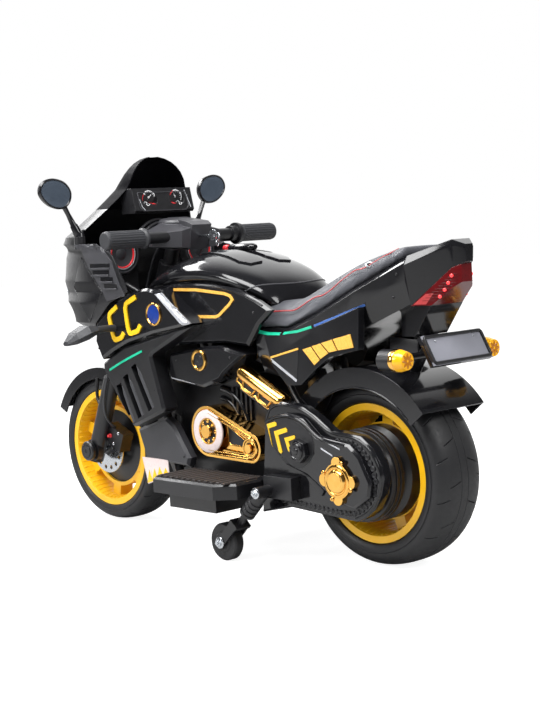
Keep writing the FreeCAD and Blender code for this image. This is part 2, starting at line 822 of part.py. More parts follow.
blade_shares = [(0.0, 0.0), (0.16, 0.0), (0.3, 0.35), (0.9, 0.1), (1.0, 0.3), (1.0, 0.7), (0.86, 0.75),
                (0.3, 1.0), (0.0, 0.9)]
blade_long = s.lever_out - s.lever_in
blade = doc.addObject("PartDesign::Body", "Lever")
blade_sketch = sketched(blade, "XY_Plane", [(s.lever_wide * 2 * across if across else zero,
                                             blade_long * along if along else zero)
                                           for along, across in blade_shares])
blade_pad = blade.newObject("PartDesign::Pad", "Pad")
blade_pad.Profile = blade_sketch
blade_pad.setExpression("Length", (s.lever_thick * 0.6).text)
blade_body = placed(blade, (s.lever_x - s.lever_wide, s.lever_in, s.lever_z))
pivot_bore = cylinder((s.lever_x, pivot_y, s.lever_z - s.lever_thick), s.lever_pin_r + s.turning_gap,
                      s.lever_thick * 3, upright)
node(mirrored(cut(blade_body, [pivot_bore])), "brake_lever")

# Key in the rear face of the cover.
key_shank = cylinder((s.cover_x - s.key_long * 0.3, zero, s.key_z), s.key_r, s.key_long, along_x)
key_bow = cylinder((s.cover_x - s.key_long * 0.3 - s.key_bow_r * 0.8, s.key_bow_thick * -0.5, s.key_z),
                   s.key_bow_r,
                   s.key_bow_thick)
key_eye = cylinder((s.cover_x - s.key_long * 0.3 - s.key_bow_r * 1.3, -s.key_bow_thick, s.key_z),
                   s.key_r, s.key_bow_thick * 2)
node(cut(fused([key_shank, key_bow]), [key_eye]), "ignition_key")

# Frame: head tube, top rails, cradle and stays to the rear axle.
head_low = -s.head_tube_down - s.head_tube_long
head_turn = Placement(at(*steer_place), raked)
head_base = head_turn.multVec(Vector(0, 0, head_low.value))
head_outer = Part.makeCylinder(s.head_tube_r.value, s.head_tube_long.value, head_base, leg_line)
head_bore = Part.makeCylinder((s.stem_r + s.turning_gap).value, s.head_tube_long.value * 3,
                              head_base - leg_line * s.head_tube_long.value, leg_line)
frame_shape = head_outer
rail_shares = [(0.5, 0.24), (0.5, 0.06)]
for side in (1, -1):
    head_high = head_base + leg_line * (s.head_tube_long.value * rail_shares[0][1])
    head_down = head_base + leg_line * (s.head_tube_long.value * rail_shares[1][1])
    away = Vector(0, side * s.head_tube_r.value * rail_shares[0][0], 0)
    seat_post = at(s.post_x, s.post_half * side, s.post_z)
    rail_bend = at(s.rail_bend_x, s.post_half * (0.9 * side), s.rail_bend_z)
    post_top = at(s.post_x, s.post_half * side, s.seat_base_z - s.shell_wall)
    panel_seat = at(s.rail_bend_x * -0.1, s.inner_y * side, s.knee_z)
    stay_end = at(s.cockpit_x, s.speaker_y * (0.9 * side), s.cockpit_z + s.cockpit_thick * 3)
    bend = at(s.stay_bend_x, s.stay_y * side, s.stay_bend_z)
    hub_end = at(s.rear_axle_x, s.stay_y * side, s.rear_tyre_r)
    shoulder = at(s.rail_front_x + s.engine_long * 0.22, s.rail_y * side, s.rail_z + s.engine_high)
    front_foot = at(s.rail_front_x, s.rail_y * side, s.rail_z)
    rear_foot = at(s.rail_rear_x, s.rail_y * side, s.rail_z)
    frame_shape = frame_shape.fuse(tube([head_high + away, rail_bend, seat_post], s.rail_r.value))
    frame_shape = frame_shape.fuse(tube([seat_post, post_top], s.stay_r.value))
    frame_shape = frame_shape.fuse(tube([rail_bend, stay_end], s.stay_r.value))
    along = (rail_bend.x - panel_seat.x) / (rail_bend.x - seat_post.x)
    rail_point = rail_bend + (seat_post - rail_bend) * along
    frame_shape = frame_shape.fuse(tube([rail_point, Vector(rail_point.x, panel_seat.y, rail_point.z)],
                                        s.stay_r.value))
    frame_shape = frame_shape.fuse(tube([seat_post, bend, hub_end], s.stay_r.value))
    frame_shape = frame_shape.fuse(tube([head_down + away, shoulder, front_foot, rear_foot], s.rail_r.value))
    frame_shape = frame_shape.fuse(tube([rear_foot, hub_end], s.stay_r.value))
    boss = Part.makeCylinder(s.axle_head_r.value * 1.4, s.stay_r.value * 2,
                             hub_end - Vector(0, s.stay_r.value, 0),
                             Vector(0, 1, 0))
    frame_shape = frame_shape.fuse(boss)
    frame_shape = frame_shape.fuse(Part.makeSphere(s.rail_r.value, rear_foot))
    frame_shape = frame_shape.fuse(Part.makeSphere(s.rail_r.value, seat_post))
for place_x, place_z, reach in ((s.rail_front_x - s.rail_r * 6, s.rail_z, s.rail_y),
                                (s.rail_rear_x + s.rail_r * 2, s.rail_z, s.rail_y),
                                (s.post_x, s.post_z, s.post_half)):
    frame_shape = frame_shape.fuse(tube([at(place_x, -reach, place_z), at(place_x, reach, place_z)],
                                        s.rail_r.value * 0.8))
axle_bore = Part.makeCylinder(s.axle_r.value, s.stay_y.value * 4,
                              at(s.rear_axle_x, s.stay_y * -2, s.rear_tyre_r), Vector(0, 1, 0))
frame_solid = frame_shape.cut(head_bore).cut(axle_bore).removeSplitter()
frame = node(shaped(frame_solid), "frame")
node(cut(gearbox, [frame]), "rear_gearbox")

# Engine block, belt covers, air boxes and shocks.
engine_base = s.rail_z + s.rail_r * 0.8
engine_shares = [(0.02, 0.12), (0.0, 0.72), (0.12, 1.0), (0.76, 1.0), (1.0, 0.66), (0.96, 0.2),
                 (0.82, 0.0), (0.14, 0.0)]
engine = panel(engine_shares, (s.engine_x, -s.engine_half, engine_base), s.engine_long, s.engine_high,
               s.engine_half * 2)
cheek_shares = [(0.764, 1.575), (1.29, 1.575), (1.38, 1.3), (1.31, 0.65), (1.0, 0.55), (0.764, 0.62)]
cheek_corners = []
for across, up in cheek_shares:
    cheek_corners.append((s.engine_x + s.engine_long * across, engine_base + s.engine_high * up))
cheek_outer = side_block(cheek_corners, s.engine_half * 0.97)
cheeks = cheek_outer.cut(side_block(cheek_corners, s.engine_half * 0.86)).cut(frame_solid)
node(fused([engine, shaped(cheeks)]), "engine_block")


def hull_outline(first, second, first_r, second_r, grow, depth, base):
    start, end = Vector(*first), Vector(*second)
    line = end - start
    slant = math.asin((first_r - second_r) / line.Length)
    heading = math.atan2(line.z, line.x)
    sides = [heading + math.pi / 2 - slant, heading - math.pi / 2 + slant]
    points = []
    for centre, radius in ((start, first_r + grow), (end, second_r + grow)):
        points.append([centre + Vector(math.cos(turn), 0, math.sin(turn)) * radius for turn in sides])
    far = start - line.normalize() * (first_r + grow)
    tip = end + line * (second_r + grow)
    edges = [Part.Arc(points[0][0], far, points[0][1]).toShape(), Part.makeLine(points[0][1], points[1][1]),
             Part.Arc(points[1][1], tip, points[1][0]).toShape(), Part.makeLine(points[1][0], points[0][0])]
    face = Part.Face(Part.Wire(edges))
    face.translate(Vector(0, base, 0))
    return face.extrude(Vector(0, depth, 0))


pulley = (s.pulley_x.value, 0, s.pulley_z.value)
idler = (s.idler_x.value, 0, s.idler_z.value)
belt_base = s.engine_half.value
belt_plate = hull_outline(pulley, idler, s.pulley_r.value, s.idler_r.value, 0,
                          s.belt_cover_out.value - belt_base, belt_base)
belt_rim = hull_outline(pulley, idler, s.pulley_r.value, s.idler_r.value, s.panel_bevel.value,
                        s.belt_rim_out.value - belt_base, belt_base)
belt_core = hull_outline(pulley, idler, s.pulley_r.value, s.idler_r.value, 0, s.belt_rim_out.value,
                         s.belt_cover_out.value)
nut_long = (s.pulley_nut_out - s.engine_half).value
nut = Part.makeCylinder(s.pulley_nut_r.value, nut_long, Vector(pulley[0], belt_base, pulley[2]),
                        Vector(0, 1, 0))
small_nut = Part.makeCylinder(s.pulley_nut_r.value * 0.7, nut_long,
                              Vector(idler[0], belt_base, idler[2]), Vector(0, 1, 0))
both(shaped(belt_rim.cut(belt_core).fuse(belt_plate).fuse(nut).fuse(small_nut).removeSplitter()),
     "belt_covers")

airbox_shares = [(1.0, 0.32), (0.976, 0.77), (0.50, 0.974), (0.32, 1.0), (0.0, 0.82), (0.267, 0.37),
                 (0.33, 0.2),
                 (0.554, 0.0), (0.97, 0.13)]
airbox = panel(airbox_shares, (s.airbox_x, s.engine_half, s.airbox_z), s.airbox_long, s.airbox_high,
               s.airbox_out - s.engine_half)
both(softened(airbox, "Chamfer", outer_face, s.panel_bevel), "airbox_covers")

shock_front = at(s.shock_front_x, s.shock_y, s.shock_front_z)
shock_rear = at(s.shock_rear_x, s.shock_y, s.shock_rear_z)
shock_line = shock_rear - shock_front
shock_shape = Part.makeCylinder(s.shock_r.value * 0.62, shock_line.Length, shock_front, shock_line)
ring_shares = [0.0, 0.14, 0.28, 0.42, 0.56, 0.7]
for share in ring_shares:
    wide = shock_line.Length * 0.08
    shock_shape = shock_shape.fuse(Part.makeCylinder(s.shock_r.value, wide,
                                                     shock_front + shock_line * share, shock_line))
shock = shaped(shock_shape.removeSplitter())

# Side panels.
shoulder_shares = [(0.976, 0.518), (0.766, 0.81), (0.566, 0.956), (0.431, 1.0), (0.303, 0.963), (0.0, 0.526),
                   (0.121, 0.474), (0.383, 0.387), (0.655, 0.255), (0.8, 0.139), (0.938, 0.0), (1.0, 0.255)]
shoulder_panel = panel(shoulder_shares, (s.shoulder_x, s.side_in, s.shoulder_z), s.shoulder_long,
                       s.shoulder_high,
                       s.side_out - s.side_in)
pair(softened(shoulder_panel, "Chamfer", outer_face, s.panel_bevel), "side_fairing")

lower_shares = [(1.0, 0.616), (0.748, 0.78), (0.422, 0.882), (0.14, 0.97), (0.0, 0.99), (0.43, 0.723),
                (0.444, 0.697),
                (0.333, 0.2), (0.348, 0.169), (0.674, 0.0), (0.704, 0.01), (0.993, 0.523)]
lower_panel = panel(lower_shares, (s.lower_x, s.side_in, s.lower_z), s.lower_long, s.lower_high,
                    (s.side_out - s.side_in) * 0.9)
lower_panel = softened(lower_panel, "Chamfer", outer_face, s.panel_bevel)
slot_shares = [((0.615, 0.63), (0.445, 0.205)), ((0.715, 0.523), (0.567, 0.123)),
               ((0.797, 0.43), (0.67, 0.05))]
slots = []
for top, low in slot_shares:
    top_x, top_z = s.lower_x + s.lower_long * top[0], s.lower_z + s.lower_high * top[1]
    low_x, low_z = s.lower_x + s.lower_long * low[0], s.lower_z + s.lower_high * low[1]
    rise = at(top_x, zero, top_z) - at(low_x, zero, low_z)
    tilt = Rotation(Vector(0, 1, 0), math.degrees(math.atan2(rise.x, rise.z)))
    reach = Length({"lower_high": rise.Length / s.lower_high.value})
    slots.append(box((low_x, s.side_in * 0.9, low_z), s.slot_wide, s.side_out, reach, tilt))
both(cut(lower_panel, slots), "lower_fairings")

knee_shares = [(1.0, 0.846), (0.825, 0.993), (0.54, 1.0), (0.27, 0.912), (0.101, 0.757), (0.0, 0.632),
               (0.104, 0.449),
               (0.2, 0.162), (0.387, 0.199), (0.761, 0.162), (0.942, 0.096), (0.997, 0.0)]
knee_panel = panel(knee_shares, (s.knee_x, s.inner_y, s.knee_z), s.knee_long, s.knee_high,
                   s.side_in - s.inner_y)
knees = both(softened(knee_panel, "Chamfer", outer_face, s.panel_bevel), "knee_panels")

leg_shares = [(1.0, 0.697), (0.418, 1.0), (0.281, 0.854), (0.0, 0.18), (0.04, 0.0), (0.856, 0.067)]
leg_panel = panel(leg_shares, (s.leg_x, s.rail_y + s.rail_r, s.leg_z), s.leg_long, s.leg_high,
                  s.side_in - s.rail_y - s.rail_r)
both(softened(leg_panel, "Chamfer", outer_face, s.panel_bevel), "leg_panels")

# Swingarm covers with a raised plate, and the hub caps on them.
arm_shares = [(0.932, 0.855), (0.872, 0.975), (0.787, 1.0), (0.608, 0.965), (0.503, 0.89), (0.389, 0.78),
              (0.287, 0.775),
              (0.162, 0.755), (0.074, 0.665), (0.017, 0.53), (0.0, 0.425), (0.027, 0.285), (0.081, 0.15),
              (0.152, 0.075),
              (0.22, 0.035), (0.476, 0.055), (0.743, 0.08), (1.0, 0.0)]
arm_in = s.stay_y + s.stay_r
arm_plate = panel(arm_shares, (s.arm_x, arm_in, s.arm_z), s.arm_long, s.arm_high, s.arm_mid - arm_in)
arm_plate = softened(arm_plate, "Chamfer", outer_face, s.panel_bevel * 0.6)
raised_shares = [(0.889, 0.85), (0.757, 0.905), (0.578, 0.875), (0.463, 0.735), (0.216, 0.69),
                 (0.139, 0.595), (0.064, 0.39),
                 (0.081, 0.265), (0.199, 0.155), (0.334, 0.19), (0.557, 0.39), (0.733, 0.465), (0.845, 0.615)]
raised = panel(raised_shares, (s.arm_x, s.arm_mid - s.panel_bevel, s.arm_z), s.arm_long, s.arm_high,
               s.arm_out - s.arm_mid + s.panel_bevel)
raised = softened(raised, "Chamfer", outer_face, s.panel_bevel * 0.8)
head_room = cylinder((s.rear_axle_x, arm_in - s.axle_head, s.rear_tyre_r), s.axle_head_r * 1.1,
                     s.axle_head * 2.4)
arm_cover = cut(fused([arm_plate, raised]), [head_room])
both(arm_cover, "swingarm_covers")
both(cut(shock, [arm_cover]), "rear_shocks")

cap_base = turned([(zero, zero), (s.cap_r, zero), (s.cap_r, s.cap_step), (s.cap_nose_r, s.cap_step),
                   (s.cap_nose_r * 0.9, s.cap_out - s.arm_out), (zero, s.cap_out - s.arm_out)],
                  (s.rear_axle_x, s.arm_out, s.rear_tyre_r))
lobe_shares = [(1.0, 0.0), (0.0, 1.0), (-1.0, 0.0), (0.0, -1.0)]
lobes = [cylinder((s.rear_axle_x + s.cap_r * across, s.arm_out, s.rear_tyre_r + s.cap_r * up),
                  s.cap_lobe_r, s.cap_step)
         for across, up in lobe_shares]
both(fused([cap_base] + lobes), "hub_caps")

# Tank cover: sections from rear to front, each with a top, a widest line and a lower edge.
tank_shares = [(0.0, 0.54, 0.19, 0.08, 0.0), (0.07, 0.77, 0.51, 0.31, 0.19), (0.195, 0.91, 0.75, 0.50, 0.37),
               (0.38, 0.98, 0.95, 0.635, 0.5), (0.61, 1.0, 1.0, 0.65, 0.5), (0.81, 0.93, 0.83, 0.56, 0.39),
               (1.0, 0.70, 0.56, 0.35, 0.19)]


def tank_ring(row):
    along, half, top, wide, low = row
    place_x = s.tank_x + s.tank_long * along
    reach = (s.tank_half * half).value
    top_z = (s.tank_z + s.tank_high * top).value
    wide_z = (s.tank_z + s.tank_high * wide).value
    low_z = (s.tank_z + s.tank_high * low).value
    shape = [(0.0, top_z), (0.55, top_z - (top_z - wide_z) * 0.16),
             (0.86, wide_z + (top_z - wide_z) * 0.5), (1.0, wide_z),
             (0.94, low_z)]
    points = [Vector(place_x.value, reach * share, up) for share, up in shape]
    points += [Vector(point.x, -point.y, point.z) for point in reversed(points[1:])]
    upper = Part.BSplineCurve()
    order = points[5:] + points[:5]
    upper.interpolate(order)
    return Part.Wire([upper.toShape(), Part.makeLine(order[-1], order[0])])


outer_tank = Part.makeLoft([tank_ring(row) for row in tank_shares], True, False)
node(cut(shaped(outer_tank.cut(frame_solid)), [knees]), "tank_cover")

fob_body = box((s.fob_x - s.fob_long * 0.5, s.fob_y - s.fob_wide * 0.5,
                s.tank_z + s.tank_high - s.fob_thick * 0.1),
               s.fob_long, s.fob_wide, s.fob_thick)
fob_tank = shaped(outer_tank)
node(cut(fob_body, [fob_tank]), "key_fob")

# Seat and tail follow one ramp, so the seat's base lies on the tail's top.
ramp_shares = [(0.0, 0.0), (0.1, 0.0), (0.31, 0.02), (0.5, 0.23), (0.74, 0.6), (1.0, 1.0)]
seat_half_shares = [0.7, 0.96, 1.0, 0.98, 0.88, 0.68]
seat_thick_shares = [0.5, 0.95, 1.0, 1.08, 0.9, 0.45]
seat_back = s.seat_rear_x - s.seat_front_x


def ramp_point(row):
    return s.seat_front_x + seat_back * row[0], s.seat_base_z + s.seat_rise * row[1]


seat_rings = []
for row, half, thick in zip(ramp_shares, seat_half_shares, seat_thick_shares):
    place_x, base_z = ramp_point(row)
    reach, deep = (s.seat_half * half).value, (s.seat_thick * thick).value
    shape = [(1.0, 0.0), (1.02, 0.4), (0.96, 0.8), (0.8, 0.97), (0.4, 1.0)]
    right = [Vector(place_x.value, -reach * share, base_z.value + deep * up) for share, up in shape]
    left = [Vector(point.x, -point.y, point.z) for point in reversed(right)]
    seat_rings.append(polygon(right + left))
node(shaped(Part.makeLoft(seat_rings, True, True).cut(outer_tank)), "seat_pad")

tail_half_shares = [0.9, 0.96, 1.0, 1.0, 0.9, 0.66]
tail_deep_shares = [0.56, 0.74, 0.84, 0.7, 0.66, 0.72]


def tail_ring(row, half, deep):
    place_x, base_z = ramp_point(row)
    reach = (s.tail_half * half).value
    top_z = base_z.value
    low_z = (base_z - s.tail_deep * deep).value
    shape = [(0.86, 1.0), (1.0, 0.86), (0.98, 0.5), (0.8, 0.0)]
    right = [Vector(place_x.value, -reach * share, low_z + (top_z - low_z) * up) for share, up in shape]
    left = [Vector(point.x, -point.y, point.z) for point in reversed(right)]
    return polygon(right + left)


tail_rows = list(zip(ramp_shares, tail_half_shares, tail_deep_shares))[1:]
tail_outer = Part.makeLoft([tail_ring(*row) for row in tail_rows], True, True)
lamp_top = s.tail_lamp_z + s.tail_lamp_high
ramp_end_x, ramp_end_z = ramp_point(ramp_shares[-1])
root_half = s.tail_half * tail_half_shares[-1]
corner_x = s.tail_end_x + s.tail_corner
end_rings = []
for place_x, half, low_z, top_z in ((ramp_end_x, root_half, s.tail_lamp_z, ramp_end_z),
                                    (corner_x, s.tail_end_half, lamp_top, s.tail_top_z),
                                    (s.tail_end_x, s.tail_end_half * 0.4, lamp_top + s.tail_corner * 0.5,
                                     s.tail_top_z - s.tail_corner * 0.5)):
    shape = [(0.86, 1.0), (1.0, 0.82), (0.8, 0.0)]
    right = []
    for share, up in shape:
        right.append(at(place_x, half * -share, low_z + (top_z - low_z) * up))
    left = [Vector(point.x, -point.y, point.z) for point in reversed(right)]
    end_rings.append(polygon(right + left))
tail_end = Part.makeLoft(end_rings, True, True)


lamp_low_x = corner_x + s.tail_lamp_rear
under_low_z = s.plate_z - s.plate_thick
under_tail = side_block([(ramp_end_x + s.tail_lamp_rear, s.tail_lamp_z + s.panel_bevel),
                         (lamp_low_x, s.tail_lamp_z),
                         (ramp_end_x + s.panel_bevel, under_low_z),
                         (ramp_end_x + s.tail_lamp_rear, under_low_z)],
                        s.under_tail_half)
seat_side_shares = [(0.168, -0.11), (0.497, 0.01), (0.796, 0.314), (0.783, -0.28), (0.598, -0.398),
                    (0.503, -0.585),
                    (0.402, -0.822), (0.31, -0.839), (0.217, -0.56)]
seat_side_corners = [ramp_point(row) for row in seat_side_shares]
seat_sides = side_block(seat_side_corners, s.tail_half * 0.985).cut(side_block(seat_side_corners,
                                                                               s.tail_half * 0.84))
tail_whole = tail_outer.fuse(tail_end).fuse(under_tail).fuse(seat_sides)
tail_shape = tail_whole.cut(frame_solid)
tail_solid = max(tail_shape.Solids, key=lambda solid: solid.Volume)
node(shaped(tail_solid.removeSplitter()), "tail_cowl")

lens_end_x = corner_x - s.tail_corner * 0.6
lamp_side = side_block([(ramp_end_x, s.tail_lamp_z), (corner_x, lamp_top),
                        (lens_end_x, lamp_top + s.tail_corner * 0.3),
                        (lens_end_x, lamp_top - s.tail_lamp_high * 0.4), (lamp_low_x, s.tail_lamp_z)],
                       s.tail_half)
right_plan = [(ramp_end_x, root_half * -0.8), (corner_x, s.tail_end_half * -0.96),
              (lens_end_x, s.tail_end_half * -0.5)]
lamp_plan = right_plan + [(place_x, -across) for place_x, across in reversed(right_plan)]
lamp_wedge = Part.Face(polygon([at(place_x, across, s.tail_lamp_z) for place_x, across in lamp_plan]))
lamp_wedge = lamp_wedge.extrude(Vector(0, 0, (s.tail_lamp_high + s.tail_corner).value))
node(shaped(lamp_side.common(lamp_wedge).cut(tail_whole).removeSplitter()), "tail_light")

# Rear fender with the plate holder and the bar for the signals.
rear_arch = arch(s.fender_r, s.fender_wall, s.fender_half, s.rear_skirt, rear_axle, fender_start,
                 fender_sweep)
lean_back = Rotation(Vector(0, 1, 0), plate_lean)
holder = Part.makeBox(s.plate_thick.value * 2, s.plate_wide.value, s.plate_high.value)
holder.translate(Vector(0, -s.plate_wide.value * 0.5, -s.plate_high.value))
holder.Placement = Placement(at(s.plate_x, zero, s.plate_z), lean_back) * holder.Placement
arm_low = at(s.plate_x - s.plate_high * 0.09, zero, s.plate_z - s.plate_high * 0.3)
arm_mid = at(s.plate_x + s.plate_arm * 3, zero, s.plate_z - s.plate_high * 0.2)
arm_top = at(s.plate_x + s.plate_arm * 4, zero, s.tail_lamp_z)
holder_arm = tube([arm_low, arm_mid, arm_top], s.plate_arm.value * 0.7)
bar_x = s.signal_x + s.signal_body * 0.5
signal_bar = Part.makeCylinder(s.signal_bar_r.value, (s.signal_y * 2 - s.signal_r).value,
                               at(bar_x, -s.signal_y + s.signal_r * 0.5, s.signal_z), Vector(0, 1, 0))
bar_post = tube([at(bar_x, zero, s.signal_z), arm_mid], s.signal_bar_r.value)
fender_post_low = at(s.rear_axle_x - s.fender_r * 0.34, zero, s.rear_tyre_r + s.fender_r * 0.95)
fender_post = tube([fender_post_low, arm_mid], s.plate_arm.value * 0.7)
signal_room = Part.makeCylinder(s.signal_r.value, s.signal_body.value,
                                at(s.signal_x, s.signal_y, s.signal_z), Vector(1, 0, 0))
other_room = Part.makeCylinder(s.signal_r.value, s.signal_body.value,
                               at(s.signal_x, -s.signal_y, s.signal_z), Vector(1, 0, 0))
wheel_room = Part.makeCylinder(s.fender_r.value, (s.fender_half - s.fender_wall).value * 2,
                               at(s.rear_axle_x, s.fender_wall - s.fender_half, s.rear_tyre_r),
                               Vector(0, 1, 0))
plate_room = Part.makeBox(s.plate_wide.value, s.plate_wide.value, s.plate_high.value * 3)
plate_room.translate(Vector(-s.plate_wide.value, -s.plate_wide.value * 0.5, -s.plate_high.value * 2))
plate_room.Placement = Placement(at(s.plate_x, zero, s.plate_z), lean_back) * plate_room.Placement
fender_shape = rear_arch
for piece in (holder, holder_arm.cut(plate_room), signal_bar, bar_post, fender_post):
    fender_shape = fender_shape.fuse(piece)
fender_shape = fender_shape.cut(signal_room).cut(other_room).cut(wheel_room).cut(tail_whole).cut(frame_solid)
fender_solid = max(fender_shape.Solids, key=lambda solid: solid.Volume)
node(shaped(fender_solid.removeSplitter()), "rear_fender")

plate = Part.makeBox(s.plate_thick.value, s.plate_wide.value * 0.98, s.plate_high.value)
plate.translate(Vector(-s.plate_thick.value, -s.plate_wide.value * 0.49, -s.plate_high.value))
plate.Placement = Placement(at(s.plate_x, zero, s.plate_z), lean_back) * plate.Placement
node(shaped(plate), "number_plate")

both(cylinder((s.signal_x, s.signal_y, s.signal_z), s.signal_r, s.signal_body, along_x), "rear_signals")
lens_side = turned([(zero, zero), (s.signal_r, zero), (s.signal_r, s.signal_lens * 0.5),
                    (s.signal_r * 0.8, s.signal_lens),
                    (zero, s.signal_lens)])
lens = placed(lens_side, (s.signal_x, s.signal_y, s.signal_z), Rotation(Vector(0, 0, 1), 90))
both(lens, "signal_lenses")

# Front fairing: level sections, each a rounded nose open to the rear.
nose_shares = [(0.0, 0.48, 0.63, 0.78), (0.106, 0.37, 0.83, 0.925), (0.27, 0.184, 0.955, 0.975),
               (0.35, 0.0, 0.985, 0.99),
               (0.43, 0.02, 1.0, 1.0), (0.624, 0.128, 0.955, 0.975), (0.665, 0.17, 0.93, 0.965),
               (0.735, 0.458, 0.885, 0.95),
               (0.79, 0.50, 0.835, 0.925), (1.0, 0.358, 0.648, 0.65)]
screen_shares = [(0.0, 0.358, 0.648, 0.65), (0.2, 0.312, 0.585, 0.548), (0.38, 0.275, 0.528, 0.462),
                 (0.54, 0.262, 0.486, 0.424), (0.68, 0.26, 0.452, 0.378), (0.8, 0.264, 0.42, 0.318),
                 (0.89, 0.27, 0.396, 0.25), (0.96, 0.278, 0.37, 0.165), (1.0, 0.286, 0.34, 0.07)]
bow = 2 / 2.5


def nose_curve(row, level, inset):
    up, back, front, half = row
    back_x = (s.nose_x + s.nose_long * back).value
    reach = (s.nose_x + s.nose_long * front - inset).value - back_x
    across = (s.nose_half * half - inset).value
    points = []
    for step in range(17):
        turn = math.pi * (step / 16 - 0.5)
        side = math.copysign(abs(math.sin(turn)) ** bow, turn)
        points.append(Vector(back_x + reach * abs(math.cos(turn)) ** bow, across * side, level))
    return points


def nose_section(row, base, high, inset):
    level = (base + high * row[0]).value
    outside = nose_curve(row, level, zero)
    inside = list(reversed(nose_curve(row, level, inset)))
    outer_line, inner_line = Part.BSplineCurve(), Part.BSplineCurve()
    outer_line.interpolate(outside)
    inner_line.interpolate(inside)
    return Part.Wire([outer_line.toShape(), Part.makeLine(outside[-1], inside[0]), inner_line.toShape(),
                      Part.makeLine(inside[-1], outside[0])])


nose_shell = Part.makeLoft([nose_section(row, s.nose_z, s.nose_high,
                                         s.shell_wall) for row in nose_shares], True, True)
foot_x = s.mirror_x + s.mirror_deep * 0.2
for side in (1, -1):
    boss_base = at(foot_x, s.mirror_foot_y * side, s.mirror_foot_z - s.mirror_boss_high)
    boss = Part.makeCylinder(s.mirror_foot_r.value, s.mirror_boss_high.value, boss_base, Vector(0, 0, 1))
    pin_base = at(foot_x, s.mirror_foot_y * side, s.mirror_foot_z - s.mirror_pin_long * 1.1)
    pin_bore = Part.makeCylinder((s.mirror_pin_r + s.turning_gap).value, s.mirror_boss_high.value,
                                 pin_base, Vector(0, 0, 1))
    foot_room = Part.makeCylinder((s.mirror_foot_r + s.side_gap).value, s.mirror_boss_high.value,
                                  at(foot_x, s.mirror_foot_y * side, s.mirror_foot_z), Vector(0, 0, 1))
    nose_shell = nose_shell.fuse(boss).cut(pin_bore).cut(foot_room)
node(shaped(nose_shell), "front_fairing")
screen_z = s.nose_z + s.nose_high
screen_rings = [nose_section(row, screen_z, s.screen_high, s.screen_wall) for row in screen_shares]
screen = node(shaped(Part.makeLoft(screen_rings, True, True)), "windscreen")


def nose_solid(grow):
    rings = []
    for row in nose_shares:
        points = nose_curve(row, (s.nose_z + s.nose_high * row[0]).value, -grow)
        line = Part.BSplineCurve()
        line.interpolate(points)
        rings.append(Part.Wire([line.toShape(), Part.makeLine(points[-1], points[0])]))
    return Part.makeLoft(rings, True, True)


lamp_outline_shares = [(-0.5, -0.2), (-0.2, -0.5), (0.3, -0.3), (0.5, 0.3), (0.4, 0.5), (-0.3, 0.2)]
lamp_face = Part.Face(polygon([at(s.nose_x + s.nose_long * 0.5, s.lamp_y + s.lamp_wide * across,
                                  s.lamp_z + s.lamp_high * up)
                               for across, up in lamp_outline_shares]))
lamp_block = lamp_face.extrude(Vector(s.nose_long.value, 0, 0))
both(shaped(nose_solid(s.lamp_proud).common(lamp_block).cut(nose_solid(zero))), "headlights")

# Dash, cockpit panel and speakers.
dash_shares = [(0.0, 0.1), (0.22, 1.0), (1.0, 1.0), (1.0, 0.0), (0.1, 0.0)]
dash_body = panel(dash_shares, (s.dash_x, -s.dash_half, s.dash_z), s.dash_long, s.dash_high, s.dash_half * 2)
dial_lean = Rotation(Vector(0, 1, 0), 90 - math.degrees(math.atan2(0.22 * s.dash_long.value,
                                                                   0.9 * s.dash_high.value)))
dials = [cylinder((s.dash_x - s.dial_deep + s.dash_long * 0.11, s.dial_y * side,
                   s.dash_z + s.dash_high * 0.58), s.dial_r,
                  s.dial_deep * 2, dial_lean) for side in (1, -1)]
node(cut(dash_body, dials + [screen]), "dash_panel")

cockpit_plate = box((s.cockpit_x, -s.cockpit_half, s.cockpit_z), s.cockpit_thick, s.cockpit_half * 2,
                    s.cockpit_high)
cockpit_gap = box((s.cockpit_x - s.cockpit_thick, -s.cockpit_gap_half, s.cockpit_z - s.cockpit_thick),
                  s.cockpit_thick * 3,
                  s.cockpit_gap_half * 2, s.cockpit_gap_high + s.cockpit_thick)
cockpit_room = shaped(nose_solid(-s.shell_wall - s.seam * 0.25))
cockpit_fit = doc.addObject("Part::MultiCommon", "Common")
cockpit_fit.Shapes = [cockpit_plate, cockpit_room]
node(cut(cockpit_fit, [cockpit_gap, frame]), "cockpit_panel")
speaker = turned([(zero, zero), (s.speaker_r * 0.5, zero), (s.speaker_r * 0.62, s.speaker_deep * 0.6),
                  (s.speaker_r * 0.7, s.speaker_deep), (s.speaker_r * 0.9, s.speaker_deep),
                  (s.speaker_r, s.speaker_deep * 0.3),
                  (s.speaker_r, zero)])
speaker_flip = Rotation(Vector(0, 0, 1), 90)
both(placed(speaker, (s.cockpit_x, s.speaker_y, s.speaker_z), speaker_flip), "speakers")

# Front indicator stalks under the fairing shoulders.
stalk = Part.makeCylinder(s.stalk_r.value, (s.stalk_out - s.side_out).value,
                          at(s.stalk_x, s.side_out, s.stalk_z), Vector(0, 1, 0))
pod_shares = [(0.0, 0.3, 0.6, 0.0), (0.35, 0.5, 1.0, 0.15), (0.75, 0.46, 0.8, 0.6), (1.0, 0.2, 0.3, 1.0)]
pod_rings = []
for along, length_share, high_share, drop in pod_shares:
    middle = at(s.stalk_x + s.pod_long * (0.5 * along), s.stalk_out + (s.pod_out - s.stalk_out) * along,
                s.stalk_z - s.pod_drop * drop)
    wide, high = (s.pod_long * length_share).value, (s.pod_high * high_share * 0.5).value
    pod_rings.append(polygon([middle + Vector(wide, 0, 0), middle + Vector(wide * 0.6, 0, high),
                              middle + Vector(-wide * 0.6, 0, high),
                              middle + Vector(-wide, 0, 0), middle + Vector(-wide * 0.6, 0, -high),
                              middle + Vector(wide * 0.6, 0, -high)]))
both(shaped(stalk.fuse(Part.makeLoft(pod_rings, True, True)).removeSplitter()), "front_indicators")

